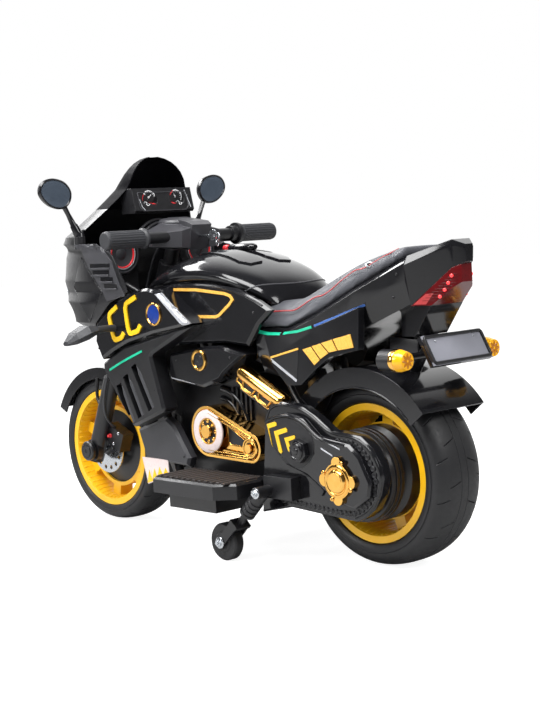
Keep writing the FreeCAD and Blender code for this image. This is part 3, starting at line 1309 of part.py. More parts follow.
# Mirrors: foot, arm and head as one piece, with the glass let into its rear face.
head_shares = [(-0.5, 0.1), (-0.34, 0.46), (0.2, 0.5), (0.47, 0.3), (0.5, -0.1), (0.34, -0.44),
               (-0.2, -0.5), (-0.44, -0.3)]


def mirror_ring(share, along):
    return polygon([at(s.mirror_x + s.mirror_deep * along, s.mirror_y + s.mirror_wide * (across * share),
                       s.mirror_z + s.mirror_high * (up * share)) for across, up in head_shares])


head = Part.makeLoft([mirror_ring(1.0, 0.0), mirror_ring(1.0, 0.3), mirror_ring(0.55, 1.0)], True, True)
glass = Part.makeLoft([mirror_ring(0.9, -0.01), mirror_ring(0.9, 0.1)], True, True)
foot = Part.makeCylinder(s.mirror_foot_r.value, s.mirror_foot_high.value,
                         at(foot_x, s.mirror_foot_y, s.mirror_foot_z),
                         Vector(0, 0, 1))
arm_line = [at(foot_x, s.mirror_foot_y, s.mirror_foot_z + s.mirror_foot_high * 0.8),
            at(foot_x, s.mirror_y * 0.86, s.mirror_foot_z + s.mirror_high * 0.36),
            at(s.mirror_x + s.mirror_deep * 0.4, s.mirror_y, s.mirror_z - s.mirror_high * 0.3)]
mirror_shape = foot.fuse(tube(arm_line, s.mirror_arm_r.value)).fuse(head).cut(glass).removeSplitter()
mirror_pin = Part.makeCylinder(s.mirror_pin_r.value, s.mirror_pin_long.value + s.mirror_foot_high.value * 0.5,
                               at(foot_x, s.mirror_foot_y, s.mirror_foot_z - s.mirror_pin_long),
                               Vector(0, 0, 1))
pair(shaped(mirror_shape.fuse(mirror_pin).removeSplitter()), "mirror")
pair(shaped(glass), "mirror_glass")

# Foot boards with treads, the tray under them, and the battery.
board_shares = [(0.19, 0.0), (1.0, 0.0), (1.0, 0.86), (0.96, 1.0), (0.3, 1.0), (0.165, 0.76),
                (0.165, 0.24), (0.19, 0.24)]
board = doc.addObject("PartDesign::Body", "Board")
board_sketch = sketched(board, "XY_Plane", spread(board_shares, s.board_long, s.board_wide))
board_pad = board.newObject("PartDesign::Pad", "Pad")
board_pad.Profile = board_sketch
board_pad.setExpression("Length", s.board_thick.text)
placed(board, (s.board_x, s.board_in, s.board_z))
board = softened(board, "Chamfer", top_face, s.board_bevel)
treads = []
for index in range(6):
    treads.append(box((s.board_x + s.board_long * 0.34,
                       s.board_in + s.board_wide * 0.1 + s.tread_pitch * index,
                       s.board_z + s.board_thick - s.tread_deep), s.board_long * 0.56, s.tread_wide,
                      s.tread_deep * 2))
both(cut(board, treads), "foot_boards")
node(box((s.tray_x, -s.tray_half, s.tray_z), s.tray_long, s.tray_half * 2,
         s.rail_z - s.rail_r - s.tray_z), "under_tray")
node(box((s.battery_x, -s.battery_half, engine_base + s.engine_high), s.battery_long, s.battery_half * 2,
         s.battery_high), "battery")

# Stabilisers: a sleeve on a bracket, a sprung rod with a fork, and a small wheel.
strut_top = at(s.strut_x, s.caster_y, s.strut_z)
caster_centre = at(s.caster_x, s.caster_y, s.caster_r)
strut_line = (caster_centre - strut_top).normalize()
strut_long = (caster_centre - strut_top).Length
strut_turn = Rotation(Vector(0, 0, 1), strut_line)
bracket = Part.makeBox(s.bracket_long.value, (s.bracket_out - s.arm_mid).value, s.bracket_high.value,
                       at(s.bracket_x, s.arm_mid, s.bracket_z))
bolt = Part.makeCylinder(s.sleeve_r.value * 0.8, (s.caster_y - s.arm_mid + s.sleeve_r * 1.3).value,
                         at(s.strut_x, s.arm_mid, s.strut_z),
                         Vector(0, 1, 0))
sleeve = Part.makeCylinder(s.sleeve_r.value, s.sleeve_long.value, strut_top, strut_line)
for share in (0.42, 0.58, 0.74, 0.9):
    sleeve = sleeve.fuse(Part.makeCylinder(s.sleeve_r.value * 1.12, s.sleeve_long.value * 0.08,
                                           strut_top + strut_line * (s.sleeve_long.value * share),
                                           strut_line))
sleeve_bore = Part.makeCylinder((s.rod_r + s.turning_gap).value, s.sleeve_long.value,
                                strut_top + strut_line * s.sleeve_cap.value,
                                strut_line)
both(shaped(bracket.fuse(bolt).fuse(sleeve).cut(sleeve_bore).removeSplitter()), "stabiliser_mounts")

rod = Part.makeCylinder(s.rod_r.value, (s.rod_end - s.rod_start).value,
                        strut_top + strut_line * s.rod_start.value, strut_line)
crown_wide = (s.caster_half + s.prong_gap + s.prong_thick).value * 2
crown = Part.makeBox((s.crown_half * 2).value, crown_wide, s.crown_thick.value)
crown.translate(Vector(-s.crown_half.value, -crown_wide * 0.5, (s.rod_end - s.crown_thick).value))
fork_shape = crown
for side in (1, -1):
    prong = Part.makeBox(s.prong_wide.value, s.prong_thick.value,
                         strut_long + s.prong_wide.value * 0.5 - s.rod_end.value + s.crown_thick.value)
    inner = (s.caster_half + s.prong_gap).value
    prong.translate(Vector(-s.prong_wide.value * 0.5, inner if side > 0 else -inner - s.prong_thick.value,
                           (s.rod_end - s.crown_thick).value))
    fork_shape = fork_shape.fuse(prong)
fork_shape.Placement = Placement(strut_top, Rotation(Vector(strut_line.z, 0, -strut_line.x), Vector(0, 1,
                                                                                                    0),
                                                     strut_line, "ZXY"))
pin = Part.makeCylinder(s.caster_pin_r.value, crown_wide, caster_centre - Vector(0, crown_wide * 0.5, 0),
                        Vector(0, 1, 0))
pair(shaped(fork_shape.fuse(rod).fuse(pin).removeSplitter()), "stabiliser_strut")

caster_wide = s.caster_half * 2
caster = turned([(s.caster_pin_r + s.turning_gap, zero), (s.caster_r * 0.5, zero),
                 (s.caster_r * 0.6, caster_wide * 0.1),
                 (s.caster_r * 0.92, caster_wide * 0.06), (s.caster_r, caster_wide * 0.22),
                 (s.caster_r, caster_wide * 0.78),
                 (s.caster_r * 0.92, caster_wide * 0.94), (s.caster_r * 0.6, caster_wide * 0.9),
                 (s.caster_r * 0.5, caster_wide),
                 (s.caster_pin_r + s.turning_gap, caster_wide)],
                (s.caster_x, s.caster_y - s.caster_half, s.caster_r))
pair(caster, "stabiliser_wheel")

doc.recompute()
failed = []
for piece in nodes:
    shape = piece.Shape
    if "Invalid" in piece.State or shape.isNull() or not shape.isValid() or not shape.Solids:
        failed.append(piece.Label)
print("nodes", len(nodes), "failed", failed)
if failed:
    raise RuntimeError("not built: " + ", ".join(failed))
for piece in nodes:
    piece.Shape.exportStep(f"parts/{piece.Label}.step")
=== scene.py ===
import math

import bmesh
import bpy
from mathutils import Matrix, Quaternion, Vector
from mathutils.bvhtree import BVHTree


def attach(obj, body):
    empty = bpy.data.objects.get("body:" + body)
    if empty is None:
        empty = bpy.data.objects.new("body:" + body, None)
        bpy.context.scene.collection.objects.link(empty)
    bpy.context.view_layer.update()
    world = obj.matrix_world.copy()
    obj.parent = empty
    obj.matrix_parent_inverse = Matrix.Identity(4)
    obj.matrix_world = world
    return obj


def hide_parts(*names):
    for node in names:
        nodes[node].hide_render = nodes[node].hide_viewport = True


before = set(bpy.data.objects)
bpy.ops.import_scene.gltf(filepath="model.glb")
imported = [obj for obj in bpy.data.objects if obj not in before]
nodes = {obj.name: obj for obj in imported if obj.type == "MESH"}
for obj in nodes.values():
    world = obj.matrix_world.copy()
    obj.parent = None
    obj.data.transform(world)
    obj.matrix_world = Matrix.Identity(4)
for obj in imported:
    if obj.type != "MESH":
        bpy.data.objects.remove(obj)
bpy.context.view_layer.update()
mm = 0.001
hands = {"left": 1, "right": -1}
sides = tuple(hands.values())
farOut = 400
print("frame loaded,", len(nodes), "nodes")


def hexColour(text):
    parts = [int(text[i:i + 2], 16) / 255 for i in (1, 3, 5)]
    linear = [c / 12.92 if c <= 0.04045 else ((c + 0.055) / 1.055) ** 2.4 for c in parts]
    return (*linear, 1.0)


def addNode(tree, kind, sockets=None, **settings):
    node = tree.nodes.new(kind)
    for name, value in settings.items():
        setattr(node, name, value)
    for socket, value in (sockets or {}).items():
        if isinstance(value, bpy.types.NodeSocket):
            tree.links.new(value, node.inputs[socket])
        else:
            node.inputs[socket].default_value = value
    return node


def freshTree(owner):
    owner.use_nodes = True
    owner.node_tree.nodes.clear()
    return owner.node_tree


# smooth and rough bound the roughness; cloud, grain, edge are mm: broad and fine unevenness, moulded radius
finishFields = ("colour", "tint", "smooth", "rough", "cloud", "grain", "bump", "edge", "slot")
finishRows = {
    # a row's extra edge colour, where given, is a painted highlight laid along its moulded edges
    # ABS from a polished mould: deep black, sharp reflections over faint flow marks
    "glossAbs": ("#0e0e10", "#17171a", 0.07, 0.16, 45, 3.0, 0.02, 1.4, "black_gloss", dict(worn="#2b2b2f")),
    # ABS from a spark-eroded mould: fine pebbled grain that greys the black
    "satinAbs": ("#111113", "#19191c", 0.27, 0.42, 30, 1.4, 0.10, 1.0, "black_satin", dict(worn="#303034")),
    # grey ABS with the same eroded grain, with a painted highlight lighter on its edges
    "greyAbs": ("#2c2c30", "#38383c", 0.34, 0.48, 26, 1.4, 0.10, 1.0, "grey_satin", dict(worn="#55555a")),
    # yellow polypropylene, semi-gloss, with a little cloudiness of the pigment
    "yellowPp": ("#e9ad08", "#f6bf1c", 0.26, 0.38, 22, 1.6, 0.05, 0.8, "yellow_plastic",
                 dict(worn="#fbd768")),
    # yellow vinyl print: flat and even, only its edge catches light
    "yellowVinyl": ("#e2b20a", "#ecc022", 0.24, 0.36, 18, 2.0, 0.03, 0.3, "yellow_plastic"),
    # vacuum-metallised ABS under amber lacquer: mirror gold with a slight wave
    "goldPlate": ("#dfa44a", "#efc06c", 0.07, 0.16, 14, 5.0, 0.05, 0.8, "gold_plating", dict(metal=1.0)),
    # hot-stamped gold foil: paler and a little rougher than the plating
    "goldFoil": ("#f2ae3c", "#fac766", 0.22, 0.34, 10, 2.0, 0.03, 0.4, "gold_plating", dict(metal=0.25)),
    # blow-moulded tyre plastic: matt, greyed by fine mould grain and dust
    "tyreEva": ("#131315", "#1c1c1f", 0.42, 0.60, 35, 1.8, 0.12, 0.8, "tyre_plastic", dict(worn="#29292c")),
    # thermoplastic rubber: soft grey-black, no clear reflections
    "gripTpr": ("#232427", "#2e2f33", 0.46, 0.62, 12, 1.2, 0.12, 0.8, "grip_rubber", dict(worn="#414247")),
    # leather-cloth with an embossed hide grain: satin grey, creases a little darker
    "leatherCloth": ("#3d3e43", "#4b4c51", 0.48, 0.60, 38, 2.6, 0.30, 1.5, "seat_leatherette",
                     dict(ior=1.32, hide=True)),
    # red vinyl welt cord round the seat top
    "redPiping": ("#8e1a1e", "#a82a2c", 0.34, 0.48, 9, 1.2, 0.10, 0.4, "red_lens"),
    # zinc-plated steel: pale blue-grey, unevenly bright
    "zincSteel": ("#b4b8bd", "#c9ccd0", 0.18, 0.32, 9, 1.2, 0.04, 0.5, "steel", dict(metal=1.0)),
    # black powder coat on steel tube: low gloss with orange peel
    "powderCoat": ("#101012", "#18181b", 0.30, 0.44, 18, 1.6, 0.12, 0.8, "painted_steel",
                   dict(worn="#26262a")),
    # metallised film on the mirror heads: nearly sharp and half metal; its blue-grey colour is a painted
    # reflection of the room
    "mirrorFilm": ("#4d5764", "#616c7a", 0.05, 0.11, 30, 12, 0.01, 0.5, "mirror_film", dict(metal=0.5)),
    # smoked polycarbonate sheet: almost black, with a soft dim sheen
    "smokedPc": ("#0a0a0c", "#101013", 0.36, 0.48, 60, 8, 0.01, 0.8, "smoked_screen", dict(ior=1.06)),
    # red acrylic lens: deep colour
    "redAcrylic": ("#4c0509", "#680a10", 0.12, 0.20, 16, 4.0, 0.05, 0.8, "red_lens", dict(ior=1.49)),
    # red lamp caps lit from within: brighter than the lens about them
    "redLamp": ("#e0222a", "#ff4a4a", 0.10, 0.20, 4, 1.5, 0.05, 0.3, "red_lens", dict(glow=1.2)),
    # paler facet of the tail lens, where a white reflector shows through
    "rosePane": ("#a03436", "#b94a4a", 0.08, 0.16, 12, 3.0, 0.04, 0.4, "red_lens", dict(ior=1.49)),
    # leaf pattern moulded in the amber lens, darker where it is thick
    "amberPattern": ("#a86204", "#c27a0a", 0.12, 0.22, 5, 2.0, 0.05, 0.3, "amber_lens", dict(ior=1.49)),
    # amber acrylic lens
    "amberAcrylic": ("#eda50a", "#f8ba22", 0.08, 0.18, 8, 3.0, 0.08, 0.6, "amber_lens", dict(ior=1.49)),
    # clear polystyrene lens over a white reflector
    "clearPs": ("#c9ced3", "#dde1e5", 0.05, 0.12, 20, 5.0, 0.05, 0.8, "clear_lens", dict(ior=1.59)),
    # grey ABS plate, printed matt
    "plateAbs": ("#7c7d85", "#888992", 0.34, 0.46, 22, 1.6, 0.06, 0.8, "plate_grey", dict(worn="#9a9ba2")),
    # bright foil: silver stripes and bezels
    "silverFoil": ("#b2b4ba", "#c4c6cb", 0.18, 0.30, 12, 2.0, 0.03, 0.4, "steel", dict(metal=0.35)),
    # pearl print round the drive cover and on the kick plates: white with a faint pink shift
    "pearlPrint": ("#d3c0bf", "#dccecb", 0.24, 0.34, 16, 2.0, 0.01, 0.4, "clear_lens"),
    # blue enamel in the badge
    "blueEnamel": ("#12296b", "#1b3a8c", 0.12, 0.24, 9, 2.0, 0.03, 0.4, "black_gloss"),
    # light guide under the seat: teal near its lamp, blue further back
    "tealGuide": ("#0f8a68", "#27c39a", 0.14, 0.26, 24, 2.0, 0.02, 0.4, "clear_lens", dict(glow=0.25)),
    "blueGuide": ("#2c4f92", "#4a72b8", 0.14, 0.26, 24, 2.0, 0.02, 0.4, "clear_lens", dict(glow=0.15)),
    # dial prints in white and red
    "whitePrint": ("#d9dadc", "#ececee", 0.30, 0.42, 8, 1.0, 0.02, 0.2, "clear_lens"),
    "redPrint": ("#c01f24", "#d8343a", 0.30, 0.42, 8, 1.0, 0.02, 0.2, "red_lens"),
    # brown-black rubber tread on the foot boards
    "treadRubber": ("#241f1e", "#302a28", 0.50, 0.66, 20, 1.6, 0.12, 0.8, "grip_rubber",
                    dict(worn="#433c39")),
}


def makeFinish(name, look):
    material = bpy.data.materials.new(name)
    tree = freshTree(material)
    place = addNode(tree, "ShaderNodeTexCoord").outputs["Object"]

    def noise(sizeMm, detail, **more):
        sockets = {"Vector": place, "Scale": 1000 / sizeMm, "Detail": detail, **more}
        return addNode(tree, "ShaderNodeTexNoise", sockets).outputs["Fac"]

    def mixed(share, low, high):
        return addNode(tree, "ShaderNodeMix", {0: share, 6: low, 7: high}, data_type="RGBA").outputs[2]

    colour = mixed(noise(look["cloud"], 5.0), hexColour(look["colour"]), hexColour(look["tint"]))
    moulded = addNode(tree, "ShaderNodeBevel", {"Radius": look["edge"] * mm}, samples=4).outputs["Normal"]
    if "worn" in look:  # painted highlight: edges turned paler where the moulded radius bends the normal
        flat = addNode(tree, "ShaderNodeNewGeometry").outputs["Normal"]
        bend = addNode(tree, "ShaderNodeVectorMath", {0: moulded, 1: flat}, operation="DOT_PRODUCT")
        paintedEdgeGlint = addNode(tree, "ShaderNodeMapRange", {
            "Value": bend.outputs["Value"], "From Min": 0.995, "From Max": 0.90, "To Min": 0.0,
            "To Max": 0.8})
        colour = mixed(paintedEdgeGlint.outputs["Result"], colour, hexColour(look["worn"]))
    rough = addNode(tree, "ShaderNodeMapRange", {
        "Value": noise(look["cloud"] / 4, 8.0, Roughness=0.7), "From Min": 0.3, "From Max": 0.7,
        "To Min": look["smooth"], "To Max": look["rough"]})
    if "hide" in look:  # pebbles with sunk creases between them
        grain = addNode(tree, "ShaderNodeTexVoronoi", {"Vector": place, "Scale": 1000 / look["grain"]},
                        feature="DISTANCE_TO_EDGE").outputs["Distance"]
    else:
        grain = noise(look["grain"], 2.0)
    bump = addNode(tree, "ShaderNodeBump", {
        "Strength": look["bump"], "Distance": look["grain"] * mm / 4, "Height": grain, "Normal": moulded})
    surface = addNode(tree, "ShaderNodeBsdfPrincipled", {
        "Base Color": colour, "Roughness": rough.outputs["Result"], "Normal": bump.outputs["Normal"],
        "Metallic": look.get("metal", 0.0), "IOR": look.get("ior", 1.5)})
    if "glow" in look:
        tree.links.new(colour, surface.inputs["Emission Color"])
        surface.inputs["Emission Strength"].default_value = look["glow"]
    addNode(tree, "ShaderNodeOutputMaterial", {"Surface": surface.outputs["BSDF"]})
    return material


finish, slotOf = {}, {}
for name, row in finishRows.items():
    look = dict(zip(finishFields, row))
    look.update(*row[len(finishFields):])
    finish[name] = makeFinish(name, look)
    slotOf[name] = look["slot"]
print("finishes made,", len(finish))

nodeFinish = {
    "glossAbs": "tank_cover tail_cowl front_fender rear_fender side_fairing_left side_fairing_right "
                "knee_panels airbox_covers swingarm_covers mirror_left mirror_right",
    "satinAbs": "front_fairing lower_fairings cockpit_panel dash_panel speakers engine_block under_tray "
                "foot_boards rear_gearbox rear_hub front_hub stabiliser_mounts battery brake_caliper "
                "rear_signals key_fob",
    "greyAbs": "handlebar_cover leg_panels",
    "yellowPp": "front_rim rear_rim",
    "goldPlate": "belt_covers hub_caps rear_shocks",
    "tyreEva": "front_tyre rear_tyre stabiliser_wheel_left stabiliser_wheel_right",
    "gripTpr": "left_grip throttle_grip brake_cable front_indicators",
    "leatherCloth": "seat_pad",
    "zincSteel": "front_axle rear_axle brake_disc ignition_key",
    "powderCoat": "frame fork handlebar brake_lever stabiliser_strut_left stabiliser_strut_right",
    "mirrorFilm": "mirror_glass_left mirror_glass_right",
    "smokedPc": "windscreen",
    "redAcrylic": "tail_light",
    "amberAcrylic": "signal_lenses",
    "clearPs": "headlights",
    "plateAbs": "number_plate",
}
crispFrom = math.radians(32)


def groupTree(name, **inputs):
    tree = bpy.data.node_groups.new(name, "GeometryNodeTree")
    for socket, kind in {"Geometry": "Geometry", **inputs}.items():
        tree.interface.new_socket(socket, in_out="INPUT", socket_type="NodeSocket" + kind)
    tree.interface.new_socket("Geometry", in_out="OUTPUT", socket_type="NodeSocketGeometry")
    return tree, addNode(tree, "NodeGroupInput").outputs


def inputId(tree, name):
    items = tree.interface.items_tree
    return next(item.identifier for item in items if item.name == name and item.in_out == "INPUT")


# joins a solid's loose triangles and keeps its edges crisp above the angle
def makeSoftShade():
    tree, given = groupTree("softShade", Angle="Float")
    joined = addNode(tree, "GeometryNodeMergeByDistance", {"Geometry": given["Geometry"], "Distance": 2e-5})
    smooth = addNode(tree, "GeometryNodeSetShadeSmooth",
                     {"Geometry": joined.outputs[0], "Shade Smooth": True})
    angle = addNode(tree, "GeometryNodeInputMeshEdgeAngle").outputs["Unsigned Angle"]
    sharp = addNode(tree, "FunctionNodeCompare", {0: angle, 1: given["Angle"]}, data_type="FLOAT",
                    operation="GREATER_THAN")
    crisp = addNode(tree, "GeometryNodeSetShadeSmooth", {
        "Geometry": smooth.outputs[0], "Selection": sharp.outputs[0], "Shade Smooth": False}, domain="EDGE")
    addNode(tree, "NodeGroupOutput", {"Geometry": crisp.outputs[0]})
    return tree


softShade = makeSoftShade()
for look, names in nodeFinish.items():
    for name in names.split():
        cad = nodes[name]
        cad.data.materials.clear()
        cad.data.materials.append(finish[look])
        shade = cad.modifiers.new("softShade", "NODES")
        shade.node_group = softShade
        shade[inputId(softShade, "Angle")] = crispFrom
print("solids dressed")


def linked(name, data):
    thing = bpy.data.objects.new(name, data)
    bpy.context.scene.collection.objects.link(thing)
    return thing


# the mesh of an object with its modifiers applied
def shapedMesh(thing):
    return bpy.data.meshes.new_from_object(thing.evaluated_get(bpy.context.evaluated_depsgraph_get()))


def adopt(name, mesh, look, body="chassis", sharp=35, stands=()):
    mesh.materials.clear()
    mesh.materials.append(finish[look])
    mesh.shade_smooth()
    mesh.set_sharp_from_angle(angle=math.radians(sharp))
    piece = linked(name, mesh)
    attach(piece, body)
    if stands:
        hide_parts(*stands)
    return piece


def closeMesh(name, bm):
    bmesh.ops.remove_doubles(bm, verts=bm.verts, dist=3e-6)
    bmesh.ops.recalc_face_normals(bm, faces=bm.faces)
    mesh = bpy.data.meshes.new(name)
    bm.to_mesh(mesh)
    bm.free()
    return mesh


def place(name, bm, look, body="chassis", sharp=35, stands=()):
    adopt(name, closeMesh(name, bm), look, body, sharp, stands)


def moveIn(bm, mesh):
    bm.from_mesh(mesh)
    bpy.data.meshes.remove(mesh)


# the cosine and sine of even steps round a circle
def around(count, first=0.0):
    return [(math.cos(first + math.tau * i / count), math.sin(first + math.tau * i / count))
            for i in range(count)]


# a turned shape: profile rows are (radius, distance along the axis), in mm
def turn(bm, profile, spot=(0, 0, 0), axis=(0, 0, 1), steps=64):
    axis = Vector(axis).normalized()
    across = axis.orthogonal().normalized()
    other = axis.cross(across)
    rings = []
    for radius, along in profile:
        centre = Vector(spot) * mm + axis * along * mm
        if radius == 0:
            rings.append([bm.verts.new(centre)] * steps)
        else:
            rings.append([bm.verts.new(centre + (across * c + other * s) * radius * mm)
                          for c, s in around(steps)])
    for low, high in zip(rings, rings[1:]):
        for i in range(steps):
            j = (i + 1) % steps
            corners = list(dict.fromkeys((low[i], low[j], high[j], high[i])))
            if len(corners) > 2:
                bm.faces.new(corners)


# the same turned shape on the left and the right, both facing out
def turnBoth(bm, profile, spot, steps=64):
    for side in sides:
        turn(bm, profile, (spot[0], spot[1] * side, spot[2]), (0, side, 0), steps)


# a flat plate in the XZ plane from y to y + thick, its outer rim bevelled; points in mm
def slab(bm, outline, y, thick, bevel):
    face = bm.faces.new([bm.verts.new(Vector((x, y, z)) * mm) for x, z in outline])
    grown = bmesh.ops.extrude_face_region(bm, geom=[face])["geom"]
    top = [v for v in grown if isinstance(v, bmesh.types.BMVert)]
    bmesh.ops.translate(bm, vec=(0, thick * mm, 0), verts=top)
    rim = {e for v in top for e in v.link_edges if e.other_vert(v) in set(top)}
    bmesh.ops.bevel(bm, geom=list(rim), offset=bevel * mm, segments=2, affect="EDGES", profile=0.6)


def slabBoth(bm, outline, y, thick, bevel):
    for side in sides:
        slab(bm, outline, y * side, thick * side, bevel)


def tubeMesh(name, points, radius, closed, smooth):
    line = bpy.data.curves.new(name, "CURVE")
    line.dimensions = "3D"
    line.bevel_depth = radius * mm
    line.bevel_resolution = 3
    line.use_fill_caps = not closed
    line.resolution_u = 6
    spline = line.splines.new("NURBS" if smooth else "POLY")
    spline.points.add(len(points) - 1)
    for slot, spot in zip(spline.points, points):
        slot.co = (*(Vector(spot) * mm), 1.0)
    spline.use_cyclic_u = closed
    spline.order_u = 3
    spline.use_endpoint_u = not closed
    holder = linked(name, line)
    mesh = shapedMesh(holder)
    bpy.data.objects.remove(holder)
    return mesh


# tubes along runs of points in mm, as one piece
def tubes(name, runs, radius, look, body="chassis", closed=False, smooth=True):
    bm = bmesh.new()
    for run in runs:
        moveIn(bm, tubeMesh(name, run, radius, closed, smooth))
    place(name, bm, look, body, sharp=50)


def meshTree(meshes):
    verts, faces = [], []
    for mesh in meshes:
        first = len(verts)
        verts += [v.co.copy() for v in mesh.vertices]
        faces += [[first + i for i in p.vertices] for p in mesh.polygons]
    return BVHTree.FromPolygons(verts, faces)


# carriers are the names of solids, with spaces between
def carrierTree(carriers):
    return meshTree([nodes[name].data for name in carriers.split()])


# where a print is cast from: the way out, and the two directions of its flat outline
casts = {1: ((0, 1, 0), (1, 0, 0), (0, 0, 1)), -1: ((0, -1, 0), (1, 0, 0), (0, 0, 1)),
         "top": ((0, 0, 1), (1, 0, 0), (0, 1, 0)), "rear": ((-1, 0, 0), (0, 1, 0), (0, 0, 1))}
castFrom = 0.9


# thin prints and trims laid on the carriers: outlines are flat, in mm, cast from each of the sides
def drape(name, outlines, carriers, look, thick=0.5, lift=0.4, cell=6.0, castSides=sides):
    tree = carrierTree(carriers)
    bm = bmesh.new()
    for side in castSides:
        out, across, up = (Vector(v) for v in casts[side])
        part = bmesh.new()
        for outline in outlines:
            part.faces.new([part.verts.new((across * u + up * v) * mm) for u, v in outline])
        bmesh.ops.remove_doubles(part, verts=part.verts, dist=1e-6)
        bmesh.ops.triangulate(part, faces=part.faces)
        for _ in range(6):
            long = [e for e in part.edges if e.calc_length() > cell * mm]
            if not long:
                break
            bmesh.ops.subdivide_edges(part, edges=long, cuts=1)
            bmesh.ops.triangulate(part, faces=part.faces)
        reach = 0.1  # where a line misses the carriers, the last reach is kept
        for v in part.verts:
            spot = tree.ray_cast(v.co + out * castFrom, -out)[0]
            if spot is not None:
                reach = spot.dot(out)
            v.co += out * (reach + lift * mm)
        shape = bmesh.ops.extrude_face_region(part, geom=list(part.faces))["geom"]
        outer = [v for v in shape if isinstance(v, bmesh.types.BMVert)]
        bmesh.ops.translate(part, vec=out * thick * mm, verts=outer)
        moveIn(bm, closeMesh(name, part))
    place(name, bm, look)


# points of a line that follows the carriers: given flat, in mm, and cast from the side; misses are dropped
def drapedRun(points, carriers, side, lift=0.0):
    tree = carrierTree(carriers)
    out, across, up = (Vector(v) for v in casts[side])
    run = []
    for u, v in points:
        spot = tree.ray_cast((across * u + up * v) * mm + out * castFrom, -out)[0]
        if spot is not None:
            run.append((spot + out * lift * mm) / mm)
    return run


def bothRuns(points, carriers, lift):
    return [drapedRun(points, carriers, side, lift) for side in sides]


# a strip of the given width along a line, as quads
def stroke(points, width):
    spots = [Vector(p) for p in points]
    edges = []
    for i, spot in enumerate(spots):
        before = (spot - spots[i - 1]).normalized() if i else None
        after = (spots[i + 1] - spot).normalized() if i < len(spots) - 1 else before
        before = before or after
        along = (before + after).normalized()
        normal = Vector((-along.y, along.x))
        reach = width / 2 / max(0.6, normal.dot(Vector((-before.y, before.x))))
        edges.append((spot + normal * reach, spot - normal * reach))
    return [(a[0], b[0], b[1], a[1]) for a, b in zip(edges, edges[1:])]


def strokes(runs, width):
    return [quad for run in runs for quad in stroke(run, width)]


# an open line with its corners cut off twice
def rounded(points):
    spots = [Vector(p) for p in points]
    for _ in range(2):
        cut = [spots[0]]
        for a, b in zip(spots, spots[1:]):
            cut += [a.lerp(b, 0.15), a.lerp(b, 0.85)]
        spots = cut + [spots[-1]]
    return spots


# a faceted block round the points
def hull(bm, points):
    corners = [bm.verts.new(Vector(p) * mm) for p in points]
    found = bmesh.ops.convex_hull(bm, input=corners)
    inner = [v for v in found["geom_interior"] if isinstance(v, bmesh.types.BMVert)]
    bmesh.ops.delete(bm, geom=inner, context="VERTS")


# part of a flat ring, as quads; angles in degrees
def arcBand(centre, inner, outer, start=0.0, end=360.0, steps=28):
    spots = []
    for i in range(steps + 1):
        angle = math.radians(start + (end - start) * i / steps)
        way = Vector((math.cos(angle), math.sin(angle)))
        spots.append((Vector(centre) + way * inner, Vector(centre) + way * outer))
    return [(a[0], a[1], b[1], b[0]) for a, b in zip(spots, spots[1:])]


# an upright arc at the given y, as points; angles in degrees from the front
def uprightArc(centre, radius, y, angles):
    spots = []
    for angle in angles:
        turned = math.radians(angle)
        spots.append((centre[0] + radius * math.cos(turned), y, centre[1] + radius * math.sin(turned)))
    return spots


# a smooth closed line through the points
def smoothLoop(points, each=6):
    spots = [Vector(p) for p in points]
    loop = []
    for i in range(len(spots)):
        a, b, c, d = (spots[(i + k) % len(spots)] for k in (-1, 0, 1, 2))
        for step in range(each):
            t = step / each
            loop.append(0.5 * (2 * b + (c - a) * t + (2 * a - 5 * b + 4 * c - d) * t ** 2
                               + (3 * b - a - 3 * c + d) * t ** 3))
    return loop


# a skin over rings of points in mm, its ends capped unless it runs round; a hollow one has no first cap
def loft(bm, rings, closed=False, hollow=False):
    made = [[bm.verts.new(Vector(p) * mm) for p in ring] for ring in rings]
    pairs = list(zip(made, made[1:])) + ([(made[-1], made[0])] if closed else [])
    for low, high in pairs:
        for i in range(len(low)):
            j = (i + 1) % len(low)
            bm.faces.new((low[i], low[j], high[j], high[i]))
    if not closed and not hollow:
        bm.faces.new(made[0][::-1])
    if not closed:
        bm.faces.new(made[-1])


# a bar about the origin, its rows the share of the width, the share of the length, and the height
def barLoft(half, long, rows):
    bm = bmesh.new()
    corners = ((-1, -1), (1, -1), (1, 1), (-1, 1))
    loft(bm, [[(u * half * k, v * long * e, h) for u, v in corners] for k, e, h in rows])
    return bm


# sets one item on every vertex of a mesh of places, turned as the vertex says
def makeRepeat():
    tree, given = groupTree("repeatItem", Item="Object", Look="Material")
    item = addNode(tree, "GeometryNodeObjectInfo", {"Object": given["Item"]}, transform_space="ORIGINAL")
    turned = addNode(tree, "GeometryNodeInputNamedAttribute", {"Name": "turned"}, data_type="QUATERNION")
    sized = addNode(tree, "GeometryNodeInputNamedAttribute", {"Name": "sized"}, data_type="FLOAT")
    placed = addNode(tree, "GeometryNodeInstanceOnPoints", {
        "Points": given["Geometry"], "Instance": item.outputs["Geometry"],
        "Rotation": turned.outputs["Attribute"], "Scale": sized.outputs["Attribute"]})
    real = addNode(tree, "GeometryNodeRealizeInstances", {"Geometry": placed.outputs["Instances"]})
    dressed = addNode(tree, "GeometryNodeSetMaterial",
                      {"Geometry": real.outputs[0], "Material": given["Look"]})
    addNode(tree, "NodeGroupOutput", {"Geometry": dressed.outputs[0]})
    return tree


repeatTree = makeRepeat()


